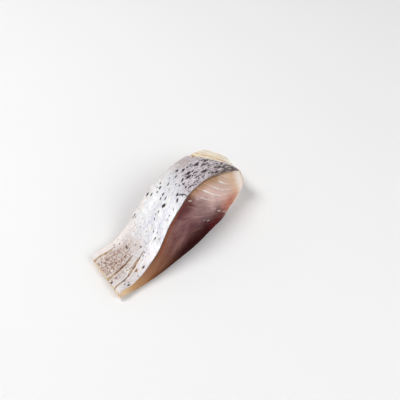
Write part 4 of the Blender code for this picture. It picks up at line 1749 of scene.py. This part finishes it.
def make_stage(settings):
    """Floor, soft studio light and the camera at the photograph's angle."""
    look = settings.stage
    turn = look.camera_turn
    right = Vector((math.cos(turn), -math.sin(turn), 0))
    ahead = Vector((math.sin(turn), math.cos(turn), 0))
    up = Vector((0, 0, 1))
    aim = Vector(look.aim)
    back = up * math.sin(look.camera_elevation) - ahead * math.cos(look.camera_elevation)

    floor = bpy.data.objects.new("floor", cove_mesh(floor_material(look)))
    bpy.context.scene.collection.objects.link(floor)

    world = bpy.data.worlds.new("studio")
    world.use_nodes = True
    world.node_tree.nodes["Background"].inputs["Color"].default_value = (1.0, 1.0, 1.0, 1.0)
    world.node_tree.nodes["Background"].inputs["Strength"].default_value = look.world
    bpy.context.scene.world = world
    key_place = aim + 0.62 * up - 0.42 * right + 0.10 * ahead
    add_light("key", look.key, look.key_size, key_place, aim)
    fill_place = aim + 0.50 * up + 0.42 * right - 0.40 * ahead
    add_light("fill", look.fill, look.fill_size, fill_place, aim)

    data = bpy.data.cameras.new("camera")
    data.lens = look.focal_length
    data.sensor_width = 36.0
    data.clip_start = 0.01
    camera = bpy.data.objects.new("camera", data)
    bpy.context.scene.collection.objects.link(camera)
    high = back.cross(right)
    turned = Matrix((right, high, back)).transposed().to_4x4()
    camera.matrix_world = Matrix.Translation(aim + look.camera_distance * back) @ turned
    bpy.context.scene.camera = camera
    bpy.context.scene.view_settings.view_transform = "Standard"


class HERRING_OT_flesh(bpy.types.Operator):
    """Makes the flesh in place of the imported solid"""

    bl_idname = "herring.flesh"
    bl_label = "Flesh"

    def execute(self, context):
        make_flesh(context.scene.herring)
        return {"FINISHED"}


class HERRING_OT_skin(bpy.types.Operator):
    """Makes the skin"""

    bl_idname = "herring.skin"
    bl_label = "Skin"

    def execute(self, context):
        make_skin(context.scene.herring)
        return {"FINISHED"}


class HERRING_OT_septa(bpy.types.Operator):
    """Makes the white threads on the cuts"""

    bl_idname = "herring.septa"
    bl_label = "Septa"

    def execute(self, context):
        make_septa(context.scene.herring)
        return {"FINISHED"}


class HERRING_OT_specks(bpy.types.Operator):
    """Makes the fine specks of the skin"""

    bl_idname = "herring.specks"
    bl_label = "Specks"

    def execute(self, context):
        make_specks(context.scene.herring)
        return {"FINISHED"}


class HERRING_OT_brine(bpy.types.Operator):
    """Makes the beads of brine on the cuts"""

    bl_idname = "herring.brine"
    bl_label = "Brine"

    def execute(self, context):
        make_brine(context.scene.herring)
        return {"FINISHED"}


class HERRING_OT_stage(bpy.types.Operator):
    """Makes the floor, the lights and the camera"""

    bl_idname = "herring.stage"
    bl_label = "Stage"

    def execute(self, context):
        make_stage(context.scene.herring)
        return {"FINISHED"}


OPERATORS = (
    HERRING_OT_stage,
    HERRING_OT_flesh,
    HERRING_OT_skin,
    HERRING_OT_septa,
    HERRING_OT_specks,
    HERRING_OT_brine,
)


class HERRING_PT_sidebar(bpy.types.Panel):
    """Lists the pieces of the slice"""

    bl_label = "Herring slice"
    bl_idname = "HERRING_PT_sidebar"
    bl_space_type = "VIEW_3D"
    bl_region_type = "UI"
    bl_category = "Herring"

    def draw(self, context):
        for operator in OPERATORS:
            self.layout.operator(operator.bl_idname)


GROUPS = (
    HerringShape,
    HerringFlesh,
    HerringSkin,
    HerringSepta,
    HerringSpecks,
    HerringBrine,
    HerringStage,
    HerringSettings,
)


def register():
    for made in (*GROUPS, *OPERATORS, HERRING_PT_sidebar):
        bpy.utils.register_class(made)
    bpy.types.Scene.herring = PointerProperty(type=HerringSettings)


def unregister():
    del bpy.types.Scene.herring
    for made in reversed((*GROUPS, *OPERATORS, HERRING_PT_sidebar)):
        bpy.utils.unregister_class(made)


def main():
    register()
    bpy.ops.herring.stage()
    bpy.ops.herring.flesh()
    bpy.ops.herring.skin()
    bpy.ops.herring.septa()
    bpy.ops.herring.specks()
    bpy.ops.herring.brine()
    bpy.context.view_layer.update()


if __name__ == "__main__":
    main()
